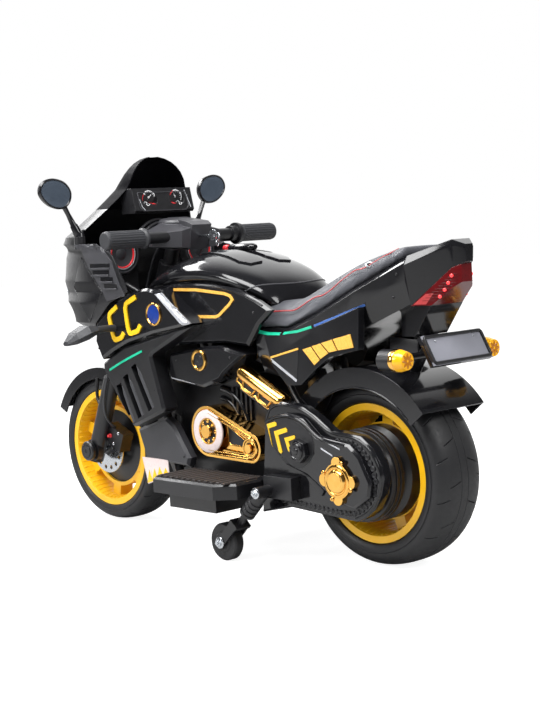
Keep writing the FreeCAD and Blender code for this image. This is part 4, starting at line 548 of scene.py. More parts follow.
# places are (spot in mm, quaternion, size); the item is a bmesh about the origin with its face along +Z
def repeat(name, itemBm, places, look, body="chassis", sharp=35):
    item = linked(name + "Item", closeMesh(name + "Item", itemBm))
    mesh = bpy.data.meshes.new(name)
    mesh.from_pydata([Vector(spot) * mm for spot, _, _ in places], [], [])
    turned = mesh.attributes.new("turned", "QUATERNION", "POINT")
    turned.data.foreach_set("value", [c for _, q, _ in places for c in q])
    sized = mesh.attributes.new("sized", "FLOAT", "POINT")
    sized.data.foreach_set("value", [size for _, _, size in places])
    holder = linked(name, mesh)
    grow = holder.modifiers.new("repeatItem", "NODES")
    grow.node_group = repeatTree
    grow[inputId(repeatTree, "Item")] = item
    grow[inputId(repeatTree, "Look")] = finish[look]
    result = shapedMesh(holder)
    result.name = name
    bpy.data.objects.remove(holder)
    bpy.data.objects.remove(item)
    adopt(name, result, look, body, sharp)


# the turn that sets +Z to the normal and +X as near as it goes to the line along
def facing(normal, along=None):
    normal = Vector(normal).normalized()
    across = Vector(along) if along else normal.orthogonal()
    across = (across - normal * across.dot(normal)).normalized()
    return Matrix((across, normal.cross(across), normal)).transposed().to_quaternion()


# places for studs on the flanks of the carriers, facing as the surface does
def studPlaces(carriers, spots, size):
    tree = carrierTree(carriers)
    places = []
    for side in sides:
        for x, z in spots:
            spot, normal, _, _ = tree.ray_cast(Vector((x, farOut * side, z)) * mm, Vector((0, -side, 0)))
            if spot is not None:
                normal = normal if normal.y * side > 0 else -normal
                places.append((spot / mm, facing(normal), size))
    return places


def crossHead():
    bm = bmesh.new()
    turn(bm, [(1.0, -0.1), (1.0, 0.25), (0.82, 0.5), (0.5, 0.6), (0.0, 0.62)], steps=16)
    for angle in (0, math.pi / 2):  # the two bars of the driver cross
        bar = bmesh.ops.create_cube(bm, size=1.0)["verts"]
        shape = Matrix.Rotation(angle, 4, "Z") @ Matrix.Diagonal((0.9 * mm, 0.22 * mm, 0.2 * mm, 1.0))
        bmesh.ops.transform(bm, matrix=Matrix.Translation((0, 0, 0.56 * mm)) @ shape, verts=bar)
    return bm


# tyres: wall rows and tread go from bead to middle as shares of half the width and of the tyre's height;
# cuts are (share of a pitch, hand, from, to)
tyreForm = dict(
    rim=120.0, pitches=14, plain=12, cutDeep=2.6, cutHalf=0.018, grooveAt=0.15, grooveDeep=1.5, crown=0.3,
    wave=0.035, waves=7, slant=0.16,
    cuts=[(0.02, 1, 0.20, 0.58), (0.52, -1, 0.20, 0.58), (0.30, 1, 0.60, 0.90), (0.80, -1, 0.60, 0.90)],
    wall=[(0.80, 0.0), (0.92, 0.05), (0.98, 0.16), (1.0, 0.30), (1.0, 0.36), (0.985, 0.385), (0.962, 0.39)],
    tread=[0.97, 0.95, 0.92, 0.88, 0.84, 0.79, 0.74, 0.68, 0.62, 0.55, 0.48, 0.41, 0.35, 0.29, 0.24, 0.2,
           0.172, 0.15, 0.128, 0.1, 0.05, 0.0])
ribForm = dict(count=52, radius=106.5, margin=3,
               profile=[(-2.1, 0.0), (-1.5, 2.6), (0.0, 3.6), (1.5, 2.6), (2.1, 0.0)])
wheels = {
    "rear": dict(axle=(-357.5, 162.0), radius=162.0, half=57.0, rimHalf=50.0),
    "front": dict(axle=(397.5, 152.0), radius=152.0, half=43.0, rimHalf=39.0),
}
rearX, rearZ = wheels["rear"]["axle"]


def makeTyre(name, wheel):
    t = tyreForm
    rows = list(t["wall"])
    for across in t["tread"]:
        lean = (across / 0.972) ** 1.25
        rows.append((across, 0.42 + 0.58 * math.sqrt(max(0.0, 1 - lean * lean)) ** 0.8))
    rows += [(-across, up) for across, up in reversed(rows[:-1])]
    shares = {i / t["plain"] for i in range(t["plain"])}
    for cut in t["cuts"]:
        shares |= {cut[0] - t["cutHalf"], cut[0], cut[0] + t["cutHalf"]}
    bm = bmesh.new()
    columns = []
    for pitch in range(t["pitches"]):
        for share in sorted(shares):
            column = []
            for across, up in rows:
                reach = t["rim"] + (wheel["radius"] - t["rim"]) * up
                angle = math.tau * (pitch + share + t["slant"] * abs(across) * 2) / t["pitches"]
                for cut, hand, low, high in t["cuts"]:
                    if share == cut and low <= across * hand <= high:
                        reach -= t["cutDeep"]
                drift = 0.0
                if abs(across) < t["crown"]:
                    drift = t["wave"] * math.sin(t["waves"] * angle) * (1 - abs(across) / t["crown"])
                    if abs(abs(across) - t["grooveAt"]) < 0.01:
                        reach -= t["grooveDeep"]
                x = wheel["axle"][0] + reach * math.cos(angle)
                z = wheel["axle"][1] + reach * math.sin(angle)
                column.append(bm.verts.new(Vector((x, (across + drift) * wheel["half"], z)) * mm))
            columns.append(column)
    for here, there in zip(columns, columns[1:] + columns[:1]):
        for row in range(len(rows)):
            after = (row + 1) % len(rows)
            bm.faces.new((here[row], there[row], there[after], here[after]))
    place(name + "TyreTread", bm, "tyreEva", name + "_wheel", 28, [name + "_tyre"])


def makeRimRibs(name, wheel):
    long = wheel["rimHalf"] - ribForm["margin"]
    ends = [(-long, 0.25), (5 - long, 0.9), (12 - long, 1.0), (long - 12, 1.0), (long - 5, 0.9), (long, 0.25)]
    rib = bmesh.new()
    loft(rib, [[(wide, along, high * size) for wide, high in ribForm["profile"]] for along, size in ends])
    places = []
    for c, s in around(ribForm["count"]):
        spot = (wheel["axle"][0] + ribForm["radius"] * c, 0, wheel["axle"][1] + ribForm["radius"] * s)
        places.append((spot, facing((-c, 0, -s), (-s, 0, c)), 1.0))
    repeat(name + "RimRibs", rib, places, "yellowPp", name + "_wheel", 40)


for name, wheel in wheels.items():
    makeTyre(name, wheel)
    makeRimRibs(name, wheel)
print("wheels made")

# rear gearbox: stepped rings, with studs round the outer face
gearbox = dict(faceY=86, studs=20, studReach=70.5, studSize=2.2,
               rows=[(20, 55.4), (76, 55.4), (80, 57), (80, 64), (77.5, 64.6), (77.5, 67.4), (79.5, 68),
                     (79.5, 74), (76.5, 74.6), (76.5, 77), (78.5, 77.6), (77, 84), (72, 86), (20, 86),
                     (20, 55.4)])


def makeGearbox():
    g = gearbox
    bm = bmesh.new()
    turn(bm, g["rows"], (rearX, 0, rearZ), (0, 1, 0), 96)
    place("gearboxRings", bm, "satinAbs", sharp=30, stands=["rear_gearbox"])
    places = []
    for c, s in around(g["studs"]):
        spot = (rearX + g["studReach"] * c, g["faceY"], rearZ + g["studReach"] * s)
        places.append((spot, facing((0, 1, 0)), g["studSize"]))
    repeat("gearboxStuds", crossHead(), places, "satinAbs")


# swingarm cover: rolled edge, dummy chain, sunk front with chevrons, hexagon boss and foot
armTrim = dict(
    plateY=118.0, raisedY=130.0, edgeR=2.6, rimR=3.2, linkPitch=21.0, ringR=4.9,
    edge=[(-176, 256), (-181, 268), (-192, 277), (-214, 282), (-250, 279), (-281, 269), (-306, 253),
          (-322, 243), (-345, 237), (-377, 236), (-401, 229), (-422, 213), (-437, 190), (-441.5, 168),
          (-435, 142), (-419, 119), (-399, 105), (-380, 97.5)],
    chain=[(-352, 226), (-376, 225), (-396, 218), (-412, 205), (-425, 186), (-429, 168), (-424, 145),
           (-411, 126), (-394, 113), (-376, 106), (-350, 105), (-325, 106), (-300, 108), (-270, 110),
           (-240, 112), (-212, 113)],
    recess=[(-187, 246), (-205, 255), (-228, 260), (-250, 260), (-276, 251), (-296, 236), (-303, 220),
            (-300, 203), (-290, 188), (-272, 177), (-252, 174), (-232, 182), (-212, 195), (-199, 210)],
    rim=[(-186, 250), (-204, 259), (-228, 264), (-252, 264), (-279, 255), (-300, 239), (-318, 229),
         (-345, 224), (-372, 222)],
    chevrons=[[(-184, 246), (-210, 253), (-214, 250), (-214, 246), (-194, 240), (-200, 211), (-197, 208),
               (-192, 211)],
              [(-207, 236), (-236, 244), (-240, 241), (-240, 237), (-217, 230), (-225, 201), (-222, 198),
               (-217, 201)],
              [(-232, 226), (-256, 232), (-259, 229), (-258, 226), (-242, 221), (-247, 204), (-244, 202),
               (-240, 204)]],
    boss=(-272, 207), bossR=21.0, bossTop=143.0, bossTurn=0.3,
    bossRows=[(15, 0), (15, 3), (12.5, 4.6), (11.5, 4.6), (10.5, 3.4), (6, 3.4), (5, 5.2), (0, 5.6)],
    whites=[[(-319, 231), (-363, 216.5), (-363, 214), (-319, 228.5)],
            [(-319, 215), (-345, 204.5), (-345, 202), (-319, 212.5)]],
    foot=[(-262, 170), (-283, 163), (-312, 140), (-306, 130), (-276, 152), (-260, 158)], footThick=5, sunk=1)


# spots along a line at even steps, each with the line's direction there
def evenly(points, pitch):
    runs = [Vector((x, 0, z)) for x, z in points]
    spots, carried = [], 0.0
    for low, high in zip(runs, runs[1:]):
        span = (high - low).length
        while carried < span:
            spots.append((low.lerp(high, carried / span), (high - low).normalized()))
            carried += pitch
        carried -= span
    return spots


def chainLink():
    bm = bmesh.new()
    r = armTrim["ringR"]
    for shift in (-armTrim["linkPitch"] / 4, armTrim["linkPitch"] / 4):
        turn(bm, [(r, 0), (r, 1.5), (r - 0.8, 2.1), (r - 1.9, 2.1), (r - 2.5, 1.2), (0, 1.1)], (shift, 0, 0),
             steps=18)
    waist = [(-2.6, 2.2), (2.6, 2.2), (2.6, -2.2), (-2.6, -2.2)]
    loft(bm, [[(x, y, z) for x, y in waist] for z in (0, 1.4)], hollow=True)
    return bm


def makeArmTrim():
    a = armTrim
    x, z = a["boss"]
    hexagon = [(x + a["bossR"] * c, z + a["bossR"] * s) for c, s in around(6, a["bossTurn"])]
    for hand, side in hands.items():
        for part, y in (("edge", a["plateY"] - 0.6), ("rim", a["raisedY"] - 0.8)):
            run = [(px, y * side, pz) for px, pz in a[part]]
            tubes(hand + "Arm" + part.title(), [run], a[part + "R"], "glossAbs")
        links = evenly(a["chain"], a["linkPitch"])
        places = [((spot.x, a["plateY"] * side, spot.z), facing((0, side, 0), along), 1.0)
                  for spot, along in links]
        repeat(hand + "ArmChain", chainLink(), places, "satinAbs")
        boss, foot = bmesh.new(), bmesh.new()
        slab(boss, hexagon, (a["raisedY"] - a["sunk"]) * side, (a["bossTop"] - a["raisedY"]) * side, 3.0)
        turn(boss, a["bossRows"], (x, (a["bossTop"] - a["sunk"]) * side, z), (0, side, 0), 40)
        place(hand + "ArmBoss", boss, "glossAbs")
        slab(foot, a["foot"], (a["plateY"] - a["sunk"]) * side, a["footThick"] * side, 1.5)
        place(hand + "ArmFoot", foot, "glossAbs")
    drape("armRecess", [a["recess"]], "swingarm_covers", "satinAbs", 0.4, lift=0.2)
    drape("armChevrons", a["chevrons"], "swingarm_covers", "yellowVinyl", 1.4)
    drape("armLines", a["whites"], "swingarm_covers", "silverFoil", 0.6, lift=0.3)


hubCap = dict(faceY=136.0, lobes=4, lobeReach=33.0, firstTurn=22.0, screwTurn=0.4, screwSize=4.2,
              rings=[(28, -5), (28, 0.5), (26, 1.6), (23.5, 1.6), (22.5, 0.6), (20.5, 0.6), (19.5, 3.6),
                     (18, 5.2), (15, 5.6), (14, 5.0), (12.5, 5.0), (11.5, 5.9), (9.5, 5.9), (9, 5.0), (9, 2)],
              hole=[(9, 4.0), (6, 3.4), (0, 3.2)])


def makeHubCaps():
    h = hubCap
    rings, holes = bmesh.new(), bmesh.new()
    turnBoth(rings, h["rings"], (rearX, h["faceY"], rearZ))
    turnBoth(holes, h["hole"], (rearX, h["faceY"], rearZ), 32)
    first = math.radians(h["firstTurn"])
    places = []
    for side in sides:
        for (c, s), along in zip(around(h["lobes"], first), around(h["lobes"], first + h["screwTurn"])):
            spot = (rearX + h["lobeReach"] * c, h["faceY"] * side, rearZ + h["lobeReach"] * s)
            places.append((spot, facing((0, side, 0), (along[0], 0, along[1])), h["screwSize"]))
    place("hubCapRings", rings, "goldPlate", sharp=30)
    place("hubCapHoles", holes, "satinAbs")
    repeat("hubCapScrews", crossHead(), places, "goldPlate")


makeGearbox()
makeArmTrim()
makeHubCaps()
print("swingarm dressed")

# gold drive cover: pearl ring and lobed nut on the big end, ridges down the arm, sunk triangle, ringed small
# end; ridges are (lift at the big end, lift at the small end), turned rows have their steps after them
driveCover = dict(
    big=(-4.0, 220.0), small=(-117.0, 196.0), rimY=108.0, lobes=8, lobeReach=19, ridgeR=1.8,
    ridges=[(40.5, 20.5), (34.0, 17.0)],
    triangle=[(-46, 232), (-92, 208), (-96, 199), (-88, 195), (-52, 197), (-48, 203)],
    pearl=[(40, -2), (40, 0.8), (38.5, 1.6), (25.5, 1.6), (24.5, 0.8), (24.5, -2)],
    bigGold=[([(24.4, -2), (24.4, 1.4), (22.6, 1.4), (21.5, -0.5)], 64),
             ([(12.5, -1), (12.5, 4.5), (10.5, 6.8), (7.5, 6.8), (6.5, 4.0), (6.5, 1.0)], 48)],
    bigDark=[([(24, -0.4), (0, -0.4)], 48), ([(6.6, 2.0), (0, 1.6)], 24)],
    smallGold=[([(19.5, -2), (19.5, 1.0), (18, 2.2), (15.5, 2.2), (14.5, 0.6), (12.5, 0.6), (11.8, 1.8),
                 (10.6, 1.8), (10, 0.4)], 56)],
    smallDark=[([(10.4, 0.2), (0, -0.6)], 32)],
    lobe=[(3.6, -1), (3.6, 0.6), (2.4, 1.2), (0, 1.3)])


def makeDriveCover():
    d = driveCover
    bx, bz = d["big"]
    pearl, gold, dark = bmesh.new(), bmesh.new(), bmesh.new()
    turnBoth(pearl, d["pearl"], (bx, d["rimY"], bz), 72)
    for end in ("big", "small"):
        x, z = d[end]
        for bm, tone in ((gold, "Gold"), (dark, "Dark")):
            for rows, steps in d[end + tone]:
                turnBoth(bm, rows, (x, d["rimY"], z), steps)
    for c, s in around(d["lobes"]):
        turnBoth(gold, d["lobe"], (bx + d["lobeReach"] * c, d["rimY"], bz + d["lobeReach"] * s), 14)
    place("drivePearlRing", pearl, "pearlPrint")
    place("driveGoldRings", gold, "goldPlate", sharp=30)
    place("driveDarkWells", dark, "satinAbs")
    ridges = []
    for side in sides:
        big, small = (Vector((x, d["rimY"] * side, z)) for x, z in (d["big"], d["small"]))
        away = (small - big).normalized()
        up = Vector((away.z, 0, -away.x))
        for bigLift, smallLift in d["ridges"]:
            for way, shift in ((1, -4), (-1, 6)):
                start = big + up * bigLift * way + away * shift
                end = small + up * smallLift * way
                ridges.append([start, start.lerp(end, 0.5), end])
    tubes("driveRidges", ridges, d["ridgeR"], "goldPlate")
    drape("driveTriangle", [d["triangle"]], "belt_covers", "satinAbs", lift=0.3)
    tubes("driveTriangleRim", bothRuns(d["triangle"], "belt_covers", 0.4), 1.6, "goldPlate", closed=True,
          smooth=False)


# gold damper cover: a rounded bar over a pierced, stepped skirt, with a black rod under it; skirt and window
# points are (share of the length, lift)
damper = dict(front=(-99.0, 331.0), rear=(-206.0, 278.0), y=102.0, radius=15.5, barLift=4, frameR=2.2,
              arc=(150, -40, 12), squeeze=0.9,
              stations=[(0.0, 0.82), (0.015, 0.95), (0.05, 1.0), (0.95, 1.0), (0.985, 0.95), (1.0, 0.82)],
              skirt=[(0.03, -6), (0.03, -14), (0.13, -14), (0.17, -20), (0.43, -20), (0.48, -15), (0.52, -20),
                     (0.80, -20), (0.85, -15), (0.92, -15), (0.97, -11), (0.97, -6)],
              windows=[(0.20, 0.40), (0.56, 0.76)], rod=[(0.06, -27), (0.5, -27), (1.0, -27)], rodY=96,
              rodR=7.0)


def makeDampers():
    d = damper
    start, end = (Vector((x, 0, z)) for x, z in (d["front"], d["rear"]))
    along = (end - start).normalized()
    up = Vector((along.z, 0, -along.x))
    first, last, steps = d["arc"]
    arc = []
    for i in range(steps + 1):  # the bar's rounded back, from its upper rear edge to its lower front one
        angle = math.radians(first + (last - first) * i / steps)
        arc.append((d["radius"] * math.sin(angle) * d["squeeze"], d["radius"] * math.cos(angle)))
    bars, skirts = bmesh.new(), bmesh.new()
    frames, rods = [], []
    for side in sides:
        def spot(share, lift, y):
            return start.lerp(end, share) + up * lift + Vector((0, y * side, 0))

        def line(points, y):
            return [spot(share, lift, y) for share, lift in points]

        loft(bars, [[spot(share, lift * size + d["barLift"], d["y"] + proud * size) for lift, proud in arc]
                    for share, size in d["stations"]])
        loft(skirts, [line(d["skirt"], d["y"] + proud) for proud in (4, 9)], hollow=True)
        windows = [[(a - 0.04, -6), (a, -17), (b, -17), (b + 0.04, -6)] for a, b in d["windows"]]
        frames += [line(points, d["y"] + 10) for points in [d["skirt"], *windows]]
        rods.append(line(d["rod"], d["rodY"]))
    place("damperBars", bars, "goldPlate", sharp=40, stands=["rear_shocks"])
    place("damperSkirts", skirts, "satinAbs")
    tubes("damperFrames", frames, d["frameR"], "goldPlate", smooth=False)
    tubes("damperRods", rods, d["rodR"], "glossAbs")


makeDriveCover()
makeDampers()
print("gold pieces made")

# prints and trims on the sides, outlines in (x, z)
sideMarks = dict(
    hooks=[[(190, 453), (218, 437), (205, 388), (181, 394), (174, 403)],
           [(131, 471), (166, 457), (158, 401), (130, 407), (122, 418)]], hookWide=9.0,
    badge=(81, 439), badgeRing=[(21.5, 0.2), (21.5, 2.4), (20.4, 3.4), (18.6, 3.4), (17.6, 2.4), (17.4, 1.4)],
    badgeCore=[(17.8, 0.2), (17.8, 1.6), (14.0, 2.4), (8.0, 2.9), (0, 3.0)],
    stripe=[(74, 476), (53, 479), (-21, 422), (2, 419)],
    window=[(64, 482), (0, 481), (-76, 474), (-92, 470), (-98, 463), (-90, 455), (-60, 435), (-50, 432),
            (6, 432)],
    kneeEdge=[(126, 484), (80, 490), (20, 491), (-40, 488), (-90, 480), (-140, 466), (-172, 452)],
    greenLine=[(232, 330), (196, 345), (160, 358), (128, 369)],
    airbox=(-5, 353),
    airboxRing=[(20.0, 0.0), (20.0, 2.4), (18.4, 3.8), (15.6, 3.8), (13.6, 2.0), (13.4, -3.0)],
    airboxCup=[(13.6, 2.2), (13.0, 0.6), (9.0, 0.6), (8.4, 1.4), (4.0, 1.6), (3.4, 0.5), (0, 0.5)],
    airboxLine=[(83, 318), (12, 308)],
    squares=[[(-256, 376), (-276, 381), (-296, 359), (-283, 350)],
             [(-279, 382), (-299, 387), (-317, 371), (-298.5, 361)],
             [(-302, 388), (-327, 394), (-338, 376), (-319.5, 372.5)],
             [(-330, 395), (-371, 404), (-377, 382), (-341, 376.5)]],
    triangle=[(-170, 359), (-245, 377), (-237, 321)],
    tealGuides=[[(-134, 405), (-168, 402), (-201, 402)], [(-209, 403), (-246, 407), (-281, 415)]],
    blueGuide=[(-287, 417), (-340, 434), (-391, 451)])


# a turned piece on both flanks of the carriers
def flankTurn(name, profile, spot, carriers, look):
    bm = bmesh.new()
    for side in sides:
        centre, = drapedRun([spot], carriers, side)
        turn(bm, profile, centre, (0, side, 0), 48)
    place(name, bm, look)


def makeSideMarks():
    m = sideMarks
    fairings = "side_fairing_left side_fairing_right"
    knees = "knee_panels tank_cover"
    gold, peak, silver = m["triangle"]
    drape("hookMarks", strokes([rounded(hook) for hook in m["hooks"]], m["hookWide"]), fairings,
          "yellowVinyl", 2.6)
    drape("silverStripe", [m["stripe"]], fairings, "silverFoil", 0.8)
    drape("greenLine", stroke(m["greenLine"], 4.2), "lower_fairings", "tealGuide", 1.0)
    drape("airboxLine", stroke(m["airboxLine"], 2.6), "airbox_covers", "silverFoil", 0.6)
    drape("goldSquares", m["squares"], "tail_cowl", "goldFoil", 1.2)
    drape("tealGuides", strokes(m["tealGuides"], 4.6), "tail_cowl", "tealGuide", 1.0)
    drape("blueGuides", stroke(m["blueGuide"], 3.6), "tail_cowl", "blueGuide", 1.0)
    drape("triangleGold", stroke([gold, peak], 3.4), "tail_cowl", "goldFoil", 0.8)
    drape("triangleSilver", stroke([gold, silver], 4.4), "tail_cowl", "silverFoil", 0.8)
    drape("triangleFill", [m["triangle"]], "tail_cowl", "satinAbs", 0.3, lift=0.1)
    drape("goldWindow", stroke(m["window"], 5.4), knees, "goldFoil", 1.6)
    tubes("kneeEdges", bothRuns(m["kneeEdge"], knees, 0.2), 1.9, "glossAbs")
    flankTurn("badgeRings", m["badgeRing"], m["badge"], fairings, "goldPlate")
    flankTurn("badgeCores", m["badgeCore"], m["badge"], fairings, "blueEnamel")
    flankTurn("airboxRings", m["airboxRing"], m["airbox"], "airbox_covers", "goldPlate")
    flankTurn("airboxCups", m["airboxCup"], m["airbox"], "airbox_covers", "satinAbs")


makeSideMarks()
print("side marks laid")

# the seat: foam under leather-cloth, puffed by a cloth run and capped so that it stays near its solid; ramp
# rows are (share of the length, share of the rise, share of the half width)
cushion = dict(shrink=0.985, voxel=0.005, pressure=4.0, bending=2.0, frames=20, capMm=8.0, fill=0.75,
               front=-98.0, rear=-466.0, base=411.0, rise=118.0, half=92.0, thick=38.0,
               ramp=[(0.0, 0.0, 0.7), (0.1, 0.0, 0.96), (0.31, 0.02, 1.0), (0.5, 0.23, 0.98),
                     (0.74, 0.6, 0.88), (1.0, 1.0, 0.68)],
               pipeHigh=0.72, seamHigh=0.55, pipeR=1.4, runFrom=0.06, runLong=0.86, runSteps=40,
               eyelet=(0.80, 0.86), stitch=[(0.0, -0.9), (0.5, -0.6), (0.6, 0.0), (0.5, 0.6), (0.0, 0.9)],
               ring=[(4.2, -0.6), (6.6, -0.4), (7.0, 0.6), (5.6, 1.6), (4.4, 1.2), (4.2, -0.6)],
               well=[(4.4, -0.6), (4.2, 0.3), (2.0, 0.1), (0, 0.0)])


def makeCushion():
    c = cushion
    pad = linked("seatCushion", nodes["seat_pad"].data.copy())
    mesh = pad.data
    mesh.materials.clear()
    middle = sum((v.co for v in mesh.vertices), Vector()) / len(mesh.vertices)
    for v in mesh.vertices:
        v.co = middle + (v.co - middle) * c["shrink"]
    grid = pad.modifiers.new("grid", "REMESH")
    grid.mode = "VOXEL"
    grid.voxel_size = c["voxel"]
    shaped = shapedMesh(pad)
    pad.modifiers.clear()
    pad.data = shaped
    bpy.data.meshes.remove(mesh)
    rest = [v.co.copy() for v in shaped.vertices]
    pinned = pad.vertex_groups.new(name="base")
    pinned.add([v.index for v in shaped.vertices if v.normal.z < -0.5], 1.0, "REPLACE")
    cloth = pad.modifiers.new("puff", "CLOTH")
    cloth.settings.use_pressure = True
    cloth.settings.uniform_pressure_force = c["pressure"]
    cloth.settings.effector_weights.gravity = 0.0
    cloth.settings.vertex_group_mass = "base"
    cloth.settings.bending_stiffness = c["bending"]
    scene = bpy.context.scene
    for step in range(1, c["frames"] + 1):
        scene.frame_set(step)
    puffed = pad.evaluated_get(bpy.context.evaluated_depsgraph_get()).data
    cap = c["capMm"] * mm
    for v, start, spot in zip(shaped.vertices, rest, [p.co.copy() for p in puffed.vertices]):
        move = spot - start
        v.co = start + (move * (cap / move.length) if move.length > cap else move)
    pad.modifiers.clear()
    pad.vertex_groups.clear()
    scene.frame_set(1)
    soft = pad.modifiers.new("soft", "SUBSURF")
    soft.levels = soft.render_levels = 1
    final = shapedMesh(pad)
    bpy.data.objects.remove(pad)
    piece = adopt("seatCushion", final, "leatherCloth", sharp=180, stands=("seat_pad",))
    return final


# the seat's x at a share of its length, with its share of rise and half width there
def rampAt(share):
    x = cushion["front"] + (cushion["rear"] - cushion["front"]) * share
    for (a, lowUp, lowHalf), (b, highUp, highHalf) in zip(cushion["ramp"], cushion["ramp"][1:]):
        if share <= b:
            t = (share - a) / (b - a)
            t = t * t * (3 - 2 * t)
            return x, lowUp + (highUp - lowUp) * t, lowHalf + (highHalf - lowHalf) * t


def makeSeatTrim(mesh):
    c = cushion
    tree = meshTree([mesh])

    def onSeat(share, across, sink):
        x, _, half = rampAt(share)
        spot = tree.ray_cast(Vector((x, c["half"] * half * across, 700)) * mm, Vector((0, 0, -1)))[0]
        return spot and spot / mm - Vector((0, 0, sink))

    def besideSeat(share, side, height):
        x, up, _ = rampAt(share)
        z = c["base"] + c["rise"] * up + c["thick"] * height
        spot = tree.ray_cast(Vector((x, farOut * side, z)) * mm, Vector((0, -side, 0)))[0]
        return spot and spot / mm - Vector((0, side * 0.5, 0))

    def flank(side, height):
        steps = range(c["runSteps"] + 1)
        run = [besideSeat(c["runFrom"] + c["runLong"] * i / c["runSteps"], side, height) for i in steps]
        return [spot for spot in run if spot is not None]

    front = [onSeat(0.05 - 0.02 * math.cos(math.pi * (i / 10 - 0.5)), 0.9 * (1 - i / 5), 0.4)
             for i in range(1, 10)]
    front = [spot for spot in front if spot is not None]
    tubes("seatPiping", [flank(1, c["pipeHigh"])[::-1] + front + flank(-1, c["pipeHigh"])], c["pipeR"],
          "redPiping")
    stitch = bmesh.new()
    turn(stitch, c["stitch"], axis=(1, 0, 0), steps=8)
    places = []
    for side in sides:
        seam = flank(side, c["seamHigh"])
        for a, b in zip(seam, seam[1:]):
            places += [(a.lerp(b, share), facing((0, a.y, 0), b - a), 1.6) for share in (0.25, 0.75)]
    repeat("seatStitches", stitch, places, "gripTpr", sharp=80)
    eyelets, wells = bmesh.new(), bmesh.new()
    share, across = c["eyelet"]
    for side in sides:
        spot = onSeat(share, side * across, 0)
        lean = (-0.38, side * 0.5, 0.78)
        turn(eyelets, c["ring"], spot, lean, 32)
        turn(wells, c["well"], spot, lean, 24)
    place("seatEyelets", eyelets, "zincSteel")
    place("eyeletWells", wells, "satinAbs")


makeSeatTrim(makeCushion())
print("seat made")

# the dash: dial prints, silver lines, bezel, in (y, z); a dial is (y, hand, white arc, red arc, first tick)
dash = dict(dialZ=656.0, dialR=16.0,
            dials=[(34.0, 1, (35, 165), (-15, 30), 40), (-34.0, -1, (70, 200), (20, 66), 60)],
            silver=[([(-57, 671), (-66, 636)], 2.2), ([(60, 655), (56, 640), (50, 633)], 1.4)],
            bezel=[(62, 668), (62, 640), (54, 632), (-54, 632), (-62, 640), (-58, 668)], ticks=7, tickStep=20)


def makeDash():
    r = dash["dialR"]
    white, red = [], []
    for y, hand, whiteArc, redArc, firstTick in dash["dials"]:
        centre = Vector((y, dash["dialZ"]))
        low = centre.y - 10
        white += arcBand(centre, r - 1.3, r, *whiteArc)
        red += arcBand(centre, r - 1.6, r, *redArc)
        red += stroke([(y - 3 * hand, low), (y - 14 * hand, low)], 2.6)
        for i in range(dash["ticks"]):
            angle = math.radians(firstTick + dash["tickStep"] * i)
            way = Vector((math.cos(angle), math.sin(angle)))
            white += stroke([centre + way * (r - 4.0), centre + way * (r - 1.2)], 0.9)
        white += arcBand((y + 7 * hand, low), 3.2, 4.4, steps=20)
        white += stroke([centre, centre + Vector((-5.0 * hand, 8.0))], 1.3)
        white += arcBand((y + 1.0, centre.y + 3), 0.6, 1.6, steps=12)
    silver = [quad for line, wide in dash["silver"] for quad in stroke(line, wide)]
    for name, outlines, look, thick in (("dialWhite", white, "whitePrint", 0.3),
                                        ("dialRed", red, "redPrint", 0.35),
                                        ("dashSilver", silver, "silverFoil", 0.6)):
        drape(name, outlines, "dash_panel", look, thick, lift=0.2, cell=9, castSides=("rear",))
    bezel = drapedRun(dash["bezel"], "dash_panel", "rear", 0.2)
    tubes("dashBezel", [bezel], 1.1, "greyAbs", closed=True, smooth=False)


# the nose from behind: hood over the bar, louvres, side inset and speakers; hood rows are (radius, x)
cowl = dict(hood=[(63.0, 238.0), (57.0, 229.0)], hoodZ=552.0, hoodR=3.2,
            louvre=[(303, 574), (232, 574), (190, 540), (163, 493), (152, 474), (212, 464), (230, 493),
                    (270, 532)],
            slots=[[(263, 532), (194, 532)], [(254, 519), (196, 519)], [(226, 506), (184, 506)],
                   [(215, 493), (173, 493)]],
            slotWide=8.2, lipWide=3.2, lipDown=5.6, inset=[(297, 548), (340, 490), (284, 424), (226, 482)],
            speaker=(230.6, 98.0, 552.0),
            pods=[("cone", "gripTpr", [(28.5, 1.2), (24.0, 4.0), (12.0, 6.0), (9.0, 4.4), (0, 3.6)]),
                  ("grey", "greyAbs", [(40.0, 6.5), (40.5, 2.0), (36.5, -1.2), (33.0, 0.2), (31.6, 3.0)]),
                  ("silver", "silverFoil", [(31.8, 1.6), (31.4, -0.2), (29.6, -0.4), (28.6, 1.4)]),
                  ("red", "redPrint", [(28.8, 1.0), (28.2, -0.4), (26.4, -0.2), (25.6, 2.2)])])


def makeCowl():
    c = cowl
    hood = []
    for radius, x in c["hood"]:
        hood.append([(x, y, z) for y, _, z in uprightArc((0, c["hoodZ"]), radius, 0, range(14, 168, 7))])
    tubes("cockpitHood", hood, c["hoodR"], "greyAbs")
    lips = [[(x, z - c["lipDown"]) for x, z in slot] for slot in c["slots"]]
    drape("louvrePanel", [c["louvre"]], "front_fairing", "greyAbs", 1.6, lift=0.2)
    drape("louvreLips", strokes(lips, c["lipWide"]), "front_fairing", "greyAbs", 3.0, lift=1.4)
    drape("louvreGaps", strokes(c["slots"], c["slotWide"]), "front_fairing", "glossAbs", lift=1.5)
    drape("sideInset", [c["inset"]], "front_fairing", "glossAbs", 0.6, lift=0.2)
    tubes("insetBeads", bothRuns(c["inset"], "front_fairing", 0.6), 1.2, "glossAbs", closed=True,
          smooth=False)
    x, y, z = c["speaker"]
    for name, look, rows in c["pods"]:
        bm = bmesh.new()
        for side in sides:
            turn(bm, rows, (x, y * side, z), (1, 0, 0), 56)
        place("speaker_" + name, bm, look)


makeDash()
makeCowl()
print("cockpit made")

